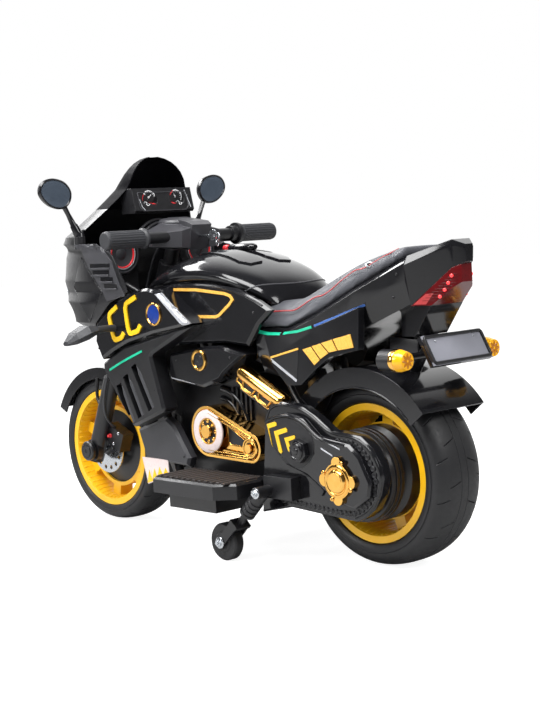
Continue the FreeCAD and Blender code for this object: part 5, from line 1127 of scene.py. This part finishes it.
# mirror heads: a smooth drop shape on a tapered stalk; shell and glass rows are (scale, depth), stalk rows
# are (share of the way down, half depth, half width)
mirrorForm = dict(centre=(199.2, 673.4), half=(37.6, 30.0), rearX=296.0,
                  outline=[(-0.40, -0.97), (0.25, -0.86), (0.80, -0.36), (1.0, 0.25), (0.72, 0.82),
                           (0.1, 1.0), (-0.62, 0.74), (-1.0, 0.10), (-0.86, -0.60)],
                  shell=[(0.86, 2.6), (0.88, 0.2), (0.94, -0.2), (1.0, 1.6), (1.0, 5.0), (0.96, 10.0),
                         (0.84, 16.0), (0.58, 22.0), (0.24, 25.0)],
                  glass=[(0.885, 2.4), (0.885, 1.0), (0.83, 0.7), (0.5, 0.5)],
                  stalk=[(0.0, 6.0, 5.0), (0.28, 5.2, 4.4), (0.6, 6.0, 6.2), (0.63, 7.4, 7.8),
                         (1.0, 8.6, 9.4)],
                  top=(303.0, 178.0, 650.0), foot=(301.2, 147.0, 589.0),
                  socket=[(0, -14.0), (9.6, -14.0), (10.4, -13.0), (10.4, 6.0), (8.8, 9.6), (0, 10.6)])


def makeMirrors():
    m = mirrorForm
    loop = smoothLoop(m["outline"])
    for hand, side in hands.items():
        def ring(scale, depth):
            return [(m["rearX"] + depth, side * (m["centre"][0] + m["half"][0] * u * scale),
                     m["centre"][1] + m["half"][1] * v * scale) for u, v in loop]

        shell, glass = bmesh.new(), bmesh.new()
        loft(shell, [ring(*row) for row in m["shell"]])
        top, foot = (Vector((x, y * side, z)) for x, y, z in (m["top"], m["foot"]))
        across = (foot - top).cross(Vector((1, 0, 0))).normalized()
        stalk = []
        for share, deep, wide in m["stalk"]:
            middle = top.lerp(foot, share)
            stalk.append([middle + Vector((deep * c, 0, 0)) + across * wide * s for c, s in around(20)])
        loft(shell, stalk)
        turn(shell, m["socket"], foot, steps=40)
        loft(glass, [ring(*row) for row in m["glass"]])
        place("mirrorShell_" + hand, shell, "glossAbs", hand + "_mirror", stands=["mirror_" + hand])
        place("mirrorFace_" + hand, glass, "mirrorFilm", hand + "_mirror", stands=["mirror_glass_" + hand])


makeMirrors()
print("mirrors made")

# tail lamp: bright caps, a pale pane, and level ribs between the lens's slanted ends
tailTrim = dict(lamps=[(-531, 494), (-525.5, 482.5), (-519.5, 471.5), (-511.5, 461)], lampR=3.0,
                cap=[(1.0, -0.15), (1.0, 0.12), (0.8, 0.42), (0.42, 0.6), (0, 0.66)],
                pane=[(-470, 449), (-490, 449), (-502, 466), (-490, 466)],
                ribs=10, ribLow=455, ribPitch=4.6, ribWide=0.9, lensLow=447)
plateForm = dict(centre=Vector((-516.1, 0.0, 377.0)), out=Vector((-0.883, 0, 0.469)),
                 up=Vector((0.469, 0, 0.883)),
                 half=(74.0, 26.0), corner=8.0, screws=[(48, 15), (-48, 15)],
                 rings=[(0, -2.4), (0, 2.2), (1.2, 3.2), (4.3, 3.2), (5.5, 2.0), (5.5, 0.1), (6.5, -0.6),
                        (2.0, -2.4)])
signalForm = dict(spot=(-478.0, 110.0, 364.0), reach=25.9, leaves=8, leafReach=7.6, leafHalf=(5.4, 2.5),
                  leafTaper=0.35,
                  leafRows=[(1.0, -0.3), (1.0, 0.3), (0.7, 0.9), (0.3, 1.1)],
                  ring=[(17.0, -1.0), (18.5, -0.6), (18.8, 0.4), (18.8, 7.4), (18.2, 8.6), (17.0, 8.8)])


def makeTailLamp():
    t = tailTrim
    cap = bmesh.new()
    turn(cap, t["cap"], steps=20)
    repeat("tailLamps", cap, studPlaces("tail_light", t["lamps"], t["lampR"]), "redLamp")
    drape("tailPane", [t["pane"]], "tail_light", "rosePane", 0.4, lift=0.2)
    ribs = []
    for i in range(t["ribs"]):
        z = t["ribLow"] + t["ribPitch"] * i
        start = -476 - 1.1 * (z - t["lensLow"])
        end = 3 - min(541, 498 + 1.22 * (z - t["lensLow"]))
        ribs.append([(start, z), (min(start - 3, end), z)])
    drape("tailRibs", strokes(ribs, t["ribWide"]), "tail_light", "redAcrylic", 0.7, lift=0.1)


# plate rings are (inset from the frame's outline, height over the plate)
def makePlate():
    p = plateForm

    def spot(u, v, height):
        return p["centre"] + Vector((0, u, 0)) + p["up"] * v + p["out"] * height

    def ring(inset, height):
        loop = []
        corner = max(1.0, p["corner"] - inset)
        for across, rise, start in ((1, 1, 0), (-1, 1, 90), (-1, -1, 180), (1, -1, 270)):
            for i in range(7):
                angle = math.radians(start + 15 * i)
                u = across * (p["half"][0] - inset - corner) + corner * math.cos(angle)
                v = rise * (p["half"][1] - inset - corner) + corner * math.sin(angle)
                loop.append(spot(u, v, height))
        return loop

    bm = bmesh.new()
    loft(bm, [ring(*row) for row in p["rings"]], closed=True)
    place("plateFrame", bm, "satinAbs")
    screws = [(spot(u, v, 0.2), facing(p["out"]), 2.0) for u, v in p["screws"]]
    repeat("plateScrews", crossHead(), screws, "zincSteel")


def makeSignals():
    s = signalForm
    rings, leaf, places = bmesh.new(), bmesh.new(), []
    for side in sides:
        spot = Vector((s["spot"][0], s["spot"][1] * side, s["spot"][2]))
        turn(rings, s["ring"], spot, (-1, 0, 0), 48)
        for cos, sin in around(s["leaves"]):
            way = Vector((0, cos, sin))
            places.append((spot - Vector((s["reach"], 0, 0)) + way * s["leafReach"], facing((-1, 0, 0), way),
                           1.0))
    place("signalRings", rings, "goldPlate")
    long, wide = s["leafHalf"]
    outline = [(cos * long, sin * (1 - s["leafTaper"] * cos) * wide) for cos, sin in around(16)]
    loft(leaf, [[(u * k, w * k, h) for u, w in outline] for k, h in s["leafRows"]])
    repeat("signalLeaves", leaf, places, "amberPattern")


makeTailLamp()
makePlate()
makeSignals()
print("tail made")

# grips with their bars and ends, and the rings on the key, each (centre, normal, radius)
gripForm = dict(x=136.0, z=579.0, radius=16.4, start=126.0, end=206.0, bars=22, barHalf=1.15, endY=212.0,
                barRows=[(1.0, 1.0, -0.6), (1.0, 1.0, 0.3), (0.55, 0.985, 0.8)],
                endRows=[(0, -2.6), (2.6, -2.4), (3.2, -0.3), (6.0, -0.2), (6.4, -0.8), (10.5, -0.8),
                         (11.0, -0.1), (14.5, -0.3), (16.0, -1.6), (16.2, -4.0)])
keyRings = dict(rings=[((62, 0, 574), (0.3, 1, 0.2), 8.5), ((60, 2, 563), (1, 0.5, 0.1), 6.0)], wire=0.9)


def makeGrips():
    g = gripForm
    long = (g["end"] - g["start"]) / 2
    for name, body, side in (("left", "steering", 1), ("throttle", "throttle", -1)):
        places = []
        for c, s in around(g["bars"]):
            spot = (g["x"] + g["radius"] * c, side * (g["start"] + long), g["z"] + g["radius"] * s)
            places.append((spot, facing((c, 0, s), (-s, 0, c)), 1.0))
        repeat(name + "GripBars", barLoft(g["barHalf"], long, g["barRows"]), places, "gripTpr", body, 30)
        bm = bmesh.new()
        turn(bm, g["endRows"], (g["x"], side * g["endY"], g["z"]), (0, side, 0), 40)
        place(name + "GripEnd", bm, "gripTpr", body)


def makeKeyRings():
    runs = []
    for centre, normal, radius in keyRings["rings"]:
        normal = Vector(normal).normalized()
        across = normal.orthogonal().normalized()
        other = normal.cross(across)
        runs.append([Vector(centre) + (across * c + other * s) * radius for c, s in around(20)])
    tubes("keyRings", runs, keyRings["wire"], "zincSteel", "key", closed=True)


# foot boards: rubber ribs across them; fins stand in the slots of the lower fairings, each from top to foot
boardForm = dict(front=40.0, rear=-138.0, y=(108.0, 196.0), z=146.0, pitch=16.0, ribHalf=4.6,
                 ribRows=[(1.0, 1.0, -0.4), (1.0, 1.0, 1.4), (0.7, 0.985, 3.0)])
finForm = dict(slots=[((151, 346), (105, 263)), ((178, 325), (138, 247)), ((200, 307), (166, 233))], half=4.0,
               drop=6,
               taper=16, y=136.0, thick=11.0, bevel=1.6)


def makeBoards():
    b = boardForm
    half = (b["y"][1] - b["y"][0]) / 2
    places = []
    for side in sides:
        for i in range(int((b["front"] - b["rear"]) / b["pitch"]) + 1):
            places.append(((b["rear"] + b["pitch"] * i, side * (b["y"][0] + half), b["z"]), Quaternion(),
                           1.0))
    repeat("boardRibs", barLoft(b["ribHalf"], half, b["ribRows"]), places, "treadRubber", sharp=30)
    f = finForm
    fins = bmesh.new()
    for top, low in f["slots"]:
        top, low = Vector(top), Vector(low)
        way = (low - top).normalized()
        across = Vector((-way.y, way.x)) * f["half"]
        tip = top + way * f["drop"]
        wide = tip + way * f["taper"]
        slabBoth(fins, [tip, wide + across, low + across, low - across, wide - across], f["y"], f["thick"],
                 f["bevel"])
    place("fairingFins", fins, "greyAbs")


# washers and nuts, screws in the panels, and what hangs on the fork; a bolt is (spot, nut's y,
# washer, nut's radius, nut's height)
fasteners = dict(
    caster=((-93, 171.6, 34), 173.2, [(0, 0), (10.5, 0), (10.5, 1.2), (9.6, 1.8), (0, 1.8)], 7.0, 5.0),
    bracket=((-194, 171.0, 132), 172.4, [(0, 0), (9.5, 0), (9.5, 1.2), (8.8, 1.6), (0, 1.6)], 6.6, 4.6),
    screwSize=2.3,
    screws=[("front_fairing", [(288, 562), (176, 588)]),
            ("side_fairing_left side_fairing_right", [(258, 372), (20, 470)]),
            ("knee_panels", [(-150, 440), (110, 470)]), ("tail_cowl", [(-440, 462), (-452, 500)]),
            ("leg_panels", [(186, 226), (66, 168)]), ("airbox_covers", [(60, 350), (-90, 360)]),
            ("engine_block", [(100, 180), (-100, 290)])],
    caliper=[(332, 62.0, 188), (350, 62.0, 166)], caliperSize=3.4, knobSpot=(358, 62.0, 182),
    knob=[(4.4, -0.4), (4.4, 2.0), (3.2, 2.6), (3.2, 6.0), (2.4, 7.0), (0, 7.2)],
    stay=[(360, 1.0, 232), (384, 1.0, 246), (394, 0.97, 268), (390, 0.93, 300)], stayY=66, stayR=3.6,
    axleSpot=(397.5, 88, 152),
    axleCap=[(0, -1), (20, -1), (20, 5), (18, 7.5), (13.5, 7.5), (13, 6.4), (11.8, 6.4), (11.4, 8.5),
             (5, 8.5), (4.4, 7.0), (0, 7.0)])


def bolt(bm, side, spot, nutY, washer, nut, high):
    x, y, z = spot
    turn(bm, washer, (x, y * side, z), (0, side, 0), 32)
    turn(bm, [(0, 0), (nut, 0), (nut, high * 0.8), (nut * 0.86, high), (nut * 0.5, high),
              (nut * 0.46, high * 1.5), (0, high * 1.6)], (x, nutY * side, z), (0, side, 0), 6)


def makeFasteners():
    f = fasteners
    for hand, side in hands.items():
        bm = bmesh.new()
        bolt(bm, side, *f["caster"])
        place("casterNut_" + hand, bm, "zincSteel", hand + "_strut")
    bm = bmesh.new()
    for side in sides:
        bolt(bm, side, *f["bracket"])
    place("bracketBolts", bm, "zincSteel")
    screws = []
    for carriers, spots in f["screws"]:
        screws += studPlaces(carriers, spots, f["screwSize"])
    repeat("panelScrews", crossHead(), screws, "powderCoat")
    bolts = [(spot, facing((0, 1, 0)), f["caliperSize"]) for spot in f["caliper"]]
    repeat("caliperScrews", crossHead(), bolts, "zincSteel", "steering")
    knob, caps = bmesh.new(), bmesh.new()
    turn(knob, f["knob"], f["knobSpot"], (0, 1, 0), 24)
    place("bleedKnob", knob, "redPrint", "steering")
    stays = [[(x, f["stayY"] * side * share, z) for x, share, z in f["stay"]] for side in sides]
    tubes("fenderStays", stays, f["stayR"], "powderCoat", "steering")
    turnBoth(caps, f["axleCap"], f["axleSpot"], 48)
    place("axleCaps", caps, "satinAbs", "steering")


makeGrips()
makeKeyRings()
makeBoards()
makeFasteners()
print("small parts made")

# tank: raised pads on its top and a bead round its rear crease, grey as a painted highlight on the crease;
# bead along the rear fender's edge
tankTrim = dict(pad=[(70, 14), (66, 46), (-64, 62), (-84, 50), (-84, 22), (-60, 10)],
                crease=[(-112, 97.5, 475), (-117, 96, 477), (-126, 94, 481.5), (-132, 87, 484),
                        (-136, 79, 485.5), (-141, 67, 486), (-145, 51, 486), (-147.5, 34, 485.2),
                        (-149.2, 15, 484.7), (-149.6, 0, 484.5)],
                creaseR=1.6, fenderR=150, fenderY=78.4, beadR=1.7)


def mirrored(points):
    return [(x, -y, *rest) for x, y, *rest in points]


def makeTankTrim():
    t = tankTrim
    drape("tankPad", [t["pad"], mirrored(t["pad"])], "tank_cover", "glossAbs", 3.2, lift=0.3, cell=7,
          castSides=("top",))
    # the crease bead is grey ABS: a painted highlight along the crease of the black tank
    tubes("tankCrease", [t["crease"] + mirrored(t["crease"][-2::-1])], t["creaseR"], "greyAbs")
    beads = [uprightArc((rearX, rearZ), t["fenderR"], side * t["fenderY"], range(38, 142, 4))
             for side in sides]
    tubes("fenderBeads", beads, t["beadR"], "glossAbs")


makeTankTrim()
print("tank trimmed")


# engine: cooling fins, each (x, low, high), pipes round the drive, plates inside the flanks, and the printed
# kick plates with their teeth; a plate is (outline, y, thick, bevel), a pipe (name, radius, thick, angles)
engineTrim = dict(
    fins=[(-40, 262, 300), (-52, 256, 300), (-64, 250, 298), (-76, 246, 296), (-88, 240, 292)], finY=70.0,
    pipes=[("innerPipes", 58.0, 5.0, range(205, 91, -8)), ("outerPipes", 76.0, 6.5, range(190, 87, -8))],
    belly=[([(62, 262), (150, 268), (196, 262), (204, 200), (160, 120), (64, 112)], 56.0, 6.0, 2.0),
           *(([(x, 246), (x + 10, 246), (x + 18, 136), (x + 8, 136)], 61.0, 4.0, 1.2)
             for x in (90, 116, 142))],
    inner=[([(-222, 340), (-270, 340), (-286, 296), (-264, 262), (-232, 256)], 60.0, 2.0, 0.8),
           ([(-396, 394), (-458, 390), (-458, 364), (-396, 366)], 29.0, 3.0, 0.8)],
    legSpot=(150, 160), kick=[(194, 158), (116, 158), (114, 128), (180, 106)],
    teeth=[(181, 110), (174, 134), (166, 116), (158, 138), (150, 121), (142, 142), (132, 127), (124, 142),
           (115, 130), (115, 128.5), (181, 108)])


# plates on both sides, as one piece
def plates(name, rows, look="satinAbs"):
    bm = bmesh.new()
    for row in rows:
        slabBoth(bm, *row)
    place(name, bm, look)


def makeEngineTrim():
    e = engineTrim
    fins = []
    for x, low, high in e["fins"]:
        fins.append(([(x - 2.6, low), (x + 2.6, low), (x + 1.4, high), (x - 3.8, high)], e["finY"], 6.0, 1.0))
    plates("engineFins", fins)
    for name, radius, thick, angles in e["pipes"]:
        runs = [uprightArc(driveCover["big"], radius, side * (e["finY"] + 2), angles) for side in sides]
        tubes(name, runs, thick, "glossAbs")
    plates("bellyPlates", e["belly"])
    plates("innerPlates", e["inner"])
    (_, legY, _), = drapedRun([e["legSpot"]], "leg_panels", 1)
    plates("kickPlates", [(e["kick"], legY - 2.6, 2.0, 0.6)], "pearlPrint")
    plates("kickTeeth", [(e["teeth"], legY - 0.7, 0.8, 0.2)], "yellowVinyl")


# bar cover in facets, and the key fob on the tank; wing and block corners are (x, y, z), the wing's for the
# left; a fob piece is (name, look, start, end, share of the width, solids it stands for)
barTrim = dict(
    wing=[(178, 28, 612), (174, 84, 592), (150, 92, 586), (110, 46, 590), (110, 24, 594), (172, 28, 556),
          (168, 82, 562), (148, 90, 562), (114, 46, 558), (114, 24, 556)],
    block=[(180, 22, 617), (118, 28, 607), (104, 24, 600), (114, 24, 587), (122, 24, 553), (176, 22, 553)],
    slot=[(154, 12, 612.6), (143, 12, 611.0), (154, 12, 609.0), (143, 12, 607.0)],
    domeSpot=(172.0, 10.0, 604.0),
    dome=[(0, -6), (33, -6), (33, 4), (30.5, 8), (22, 10.6), (0, 12.4)], domeLean=(-0.06, 0, 1),
    fob=(40.0, -18.0), fobRear=22.0, fobDown=4.5, fobLong=84.0, fobHalf=(10.5, 7.5),
    fobRows=[(0.0, 0.5), (0.06, 0.85), (0.14, 1.0), (0.86, 1.0), (0.94, 0.85), (1.0, 0.5)],
    fobPieces=[("fobBar", "glossAbs", -0.5, 0.36, 1.0, ["key_fob"]),
               ("fobTip", "redPrint", 0.35, 0.52, 0.8, [])])


def makeBarTrim():
    b = barTrim
    shell, slot = bmesh.new(), bmesh.new()
    hull(shell, b["wing"])
    hull(shell, mirrored(b["wing"]))
    hull(shell, b["block"] + mirrored(b["block"]))
    turn(shell, b["dome"], b["domeSpot"], b["domeLean"], 48)
    place("barShell", shell, "greyAbs", "steering", 12, ["handlebar_cover"])
    hull(slot, b["slot"] + mirrored(b["slot"]))
    place("barSlot", slot, "glossAbs", "steering")
    (x, y, z), = drapedRun([b["fob"]], "key_fob", "top")
    x, z = x - b["fobRear"], z - b["fobDown"]
    wide, high = b["fobHalf"]
    for name, look, start, end, size, stands in b["fobPieces"]:
        rings = []
        for share, grow in b["fobRows"]:
            along = x + b["fobLong"] * (start + (end - start) * share)
            rings.append([(along, y + wide * size * grow * c, z + high * size * grow * s)
                          for c, s in around(20)])
        bm = bmesh.new()
        loft(bm, rings)
        place(name, bm, look, stands=stands)


makeEngineTrim()
makeBarTrim()
print("engine and bar trimmed")

# sweep is the way from the bike to the white paper behind it; dim is what the rest of the room mirrors; a
# lamp is (spot, size, power)
studio = dict(floorColour="#b8b8b8", floorGlow=0.90, floorHalf=14.0, floorZ=-0.0005, sky=0.50,
              aim=(0, 0, 0.35),
              sweep=(0.74, -0.67, 0.05), bright=1.7, dim=0.10,
              lamps={"topLamp": ((-0.25, 0.85, 2.15), (2.0, 1.0), 84.0),
                     "sideLamp": ((0.9, 2.3, 1.35), (0.8, 0.9), 26.0),
                     "rearLamp": ((-2.3, -0.5, 1.7), (0.9, 0.9), 22.0),
                     "noseLamp": ((1.75, 0.15, 1.95), (1.6, 0.55), 50.0)})
photoCamera = dict(spot=(-2.074, 1.865, 0.590), yaw=-42.88, pitch=5.16, roll=-3.24, lens=74.285, sensor=36)
white = (1, 1, 1, 1)


# white to the camera and through clear things; to a gloss, bright only where the paper would be
def makeSky():
    world = bpy.data.worlds.new("studioSky")
    bpy.context.scene.world = world
    tree = freshTree(world)
    path = addNode(tree, "ShaderNodeLightPath").outputs
    seen = addNode(tree, "ShaderNodeMath", {0: path["Is Camera Ray"], 1: path["Is Transmission Ray"]},
                   operation="MAXIMUM")
    way = addNode(tree, "ShaderNodeTexCoord").outputs["Generated"]
    sweep = Vector(studio["sweep"]).normalized()
    toPaper = addNode(tree, "ShaderNodeVectorMath", {0: way, 1: sweep}, operation="DOT_PRODUCT")
    paper = addNode(tree, "ShaderNodeMapRange", {
        "Value": toPaper.outputs["Value"], "From Min": 0.30, "From Max": 0.80, "To Min": studio["dim"],
        "To Max": studio["bright"]}, interpolation_type="SMOOTHSTEP")
    shone = addNode(tree, "ShaderNodeMix", {
        0: path["Is Glossy Ray"], 2: studio["sky"], 3: paper.outputs["Result"]})
    strength = addNode(tree, "ShaderNodeMapRange", {
        "Value": seen.outputs[0], "To Min": shone.outputs[0], "To Max": 1.0})
    sky = addNode(tree, "ShaderNodeBackground", {"Color": white, "Strength": strength.outputs["Result"]})
    addNode(tree, "ShaderNodeOutputWorld", {"Surface": sky.outputs[0]})


# white paper: it takes the shadows, and glows to the camera so that it meets the sky
def makeFloor():
    bm = bmesh.new()
    bmesh.ops.create_grid(bm, x_segments=1, y_segments=1, size=studio["floorHalf"])
    mesh = bpy.data.meshes.new("studioFloor")
    bm.to_mesh(mesh)
    bm.free()
    floor = linked("studioFloor", mesh)
    floor.location.z = studio["floorZ"]
    paper = bpy.data.materials.new("paperFloor")
    tree = freshTree(paper)
    camera = addNode(tree, "ShaderNodeLightPath").outputs["Is Camera Ray"]
    share = addNode(tree, "ShaderNodeMath", {0: camera, 1: studio["floorGlow"]}, operation="MULTIPLY")
    lit = addNode(tree, "ShaderNodeBsdfDiffuse", {"Color": hexColour(studio["floorColour"])})
    glow = addNode(tree, "ShaderNodeEmission", {"Color": white, "Strength": share.outputs[0]})
    both = addNode(tree, "ShaderNodeAddShader", {0: lit.outputs[0], 1: glow.outputs[0]})
    addNode(tree, "ShaderNodeOutputMaterial", {"Surface": both.outputs[0]})
    mesh.materials.append(paper)


def makeLamps():
    for name, (spot, size, power) in studio["lamps"].items():
        lamp = bpy.data.lights.new(name, "AREA")
        lamp.shape = "RECTANGLE"
        lamp.size, lamp.size_y = size
        lamp.energy = power
        holder = linked(name, lamp)
        holder.location = spot
        holder.rotation_euler = (Vector(studio["aim"]) - Vector(spot)).to_track_quat("-Z", "Y").to_euler()


def makeCamera():
    yaw, pitch, roll = (math.radians(photoCamera[k]) for k in ("yaw", "pitch", "roll"))
    ahead = Vector((math.cos(yaw) * math.cos(pitch), math.sin(yaw) * math.cos(pitch), -math.sin(pitch)))
    right = ahead.cross(Vector((0, 0, 1))).normalized()
    up = right.cross(ahead)
    tiltedRight = math.cos(roll) * right + math.sin(roll) * up
    tiltedUp = math.cos(roll) * up - math.sin(roll) * right
    lensData = bpy.data.cameras.new("photoCamera")
    lensData.lens = photoCamera["lens"]
    lensData.sensor_width = photoCamera["sensor"]
    camera = linked("photoCamera", lensData)
    turned = Matrix((tiltedRight, tiltedUp, -ahead)).transposed().to_4x4()
    camera.matrix_world = Matrix.Translation(photoCamera["spot"]) @ turned
    bpy.context.scene.camera = camera


makeSky()
makeFloor()
makeLamps()
makeCamera()
bpy.context.scene.view_settings.view_transform = "Standard"
print("studio and camera set")

bpy.context.view_layer.update()
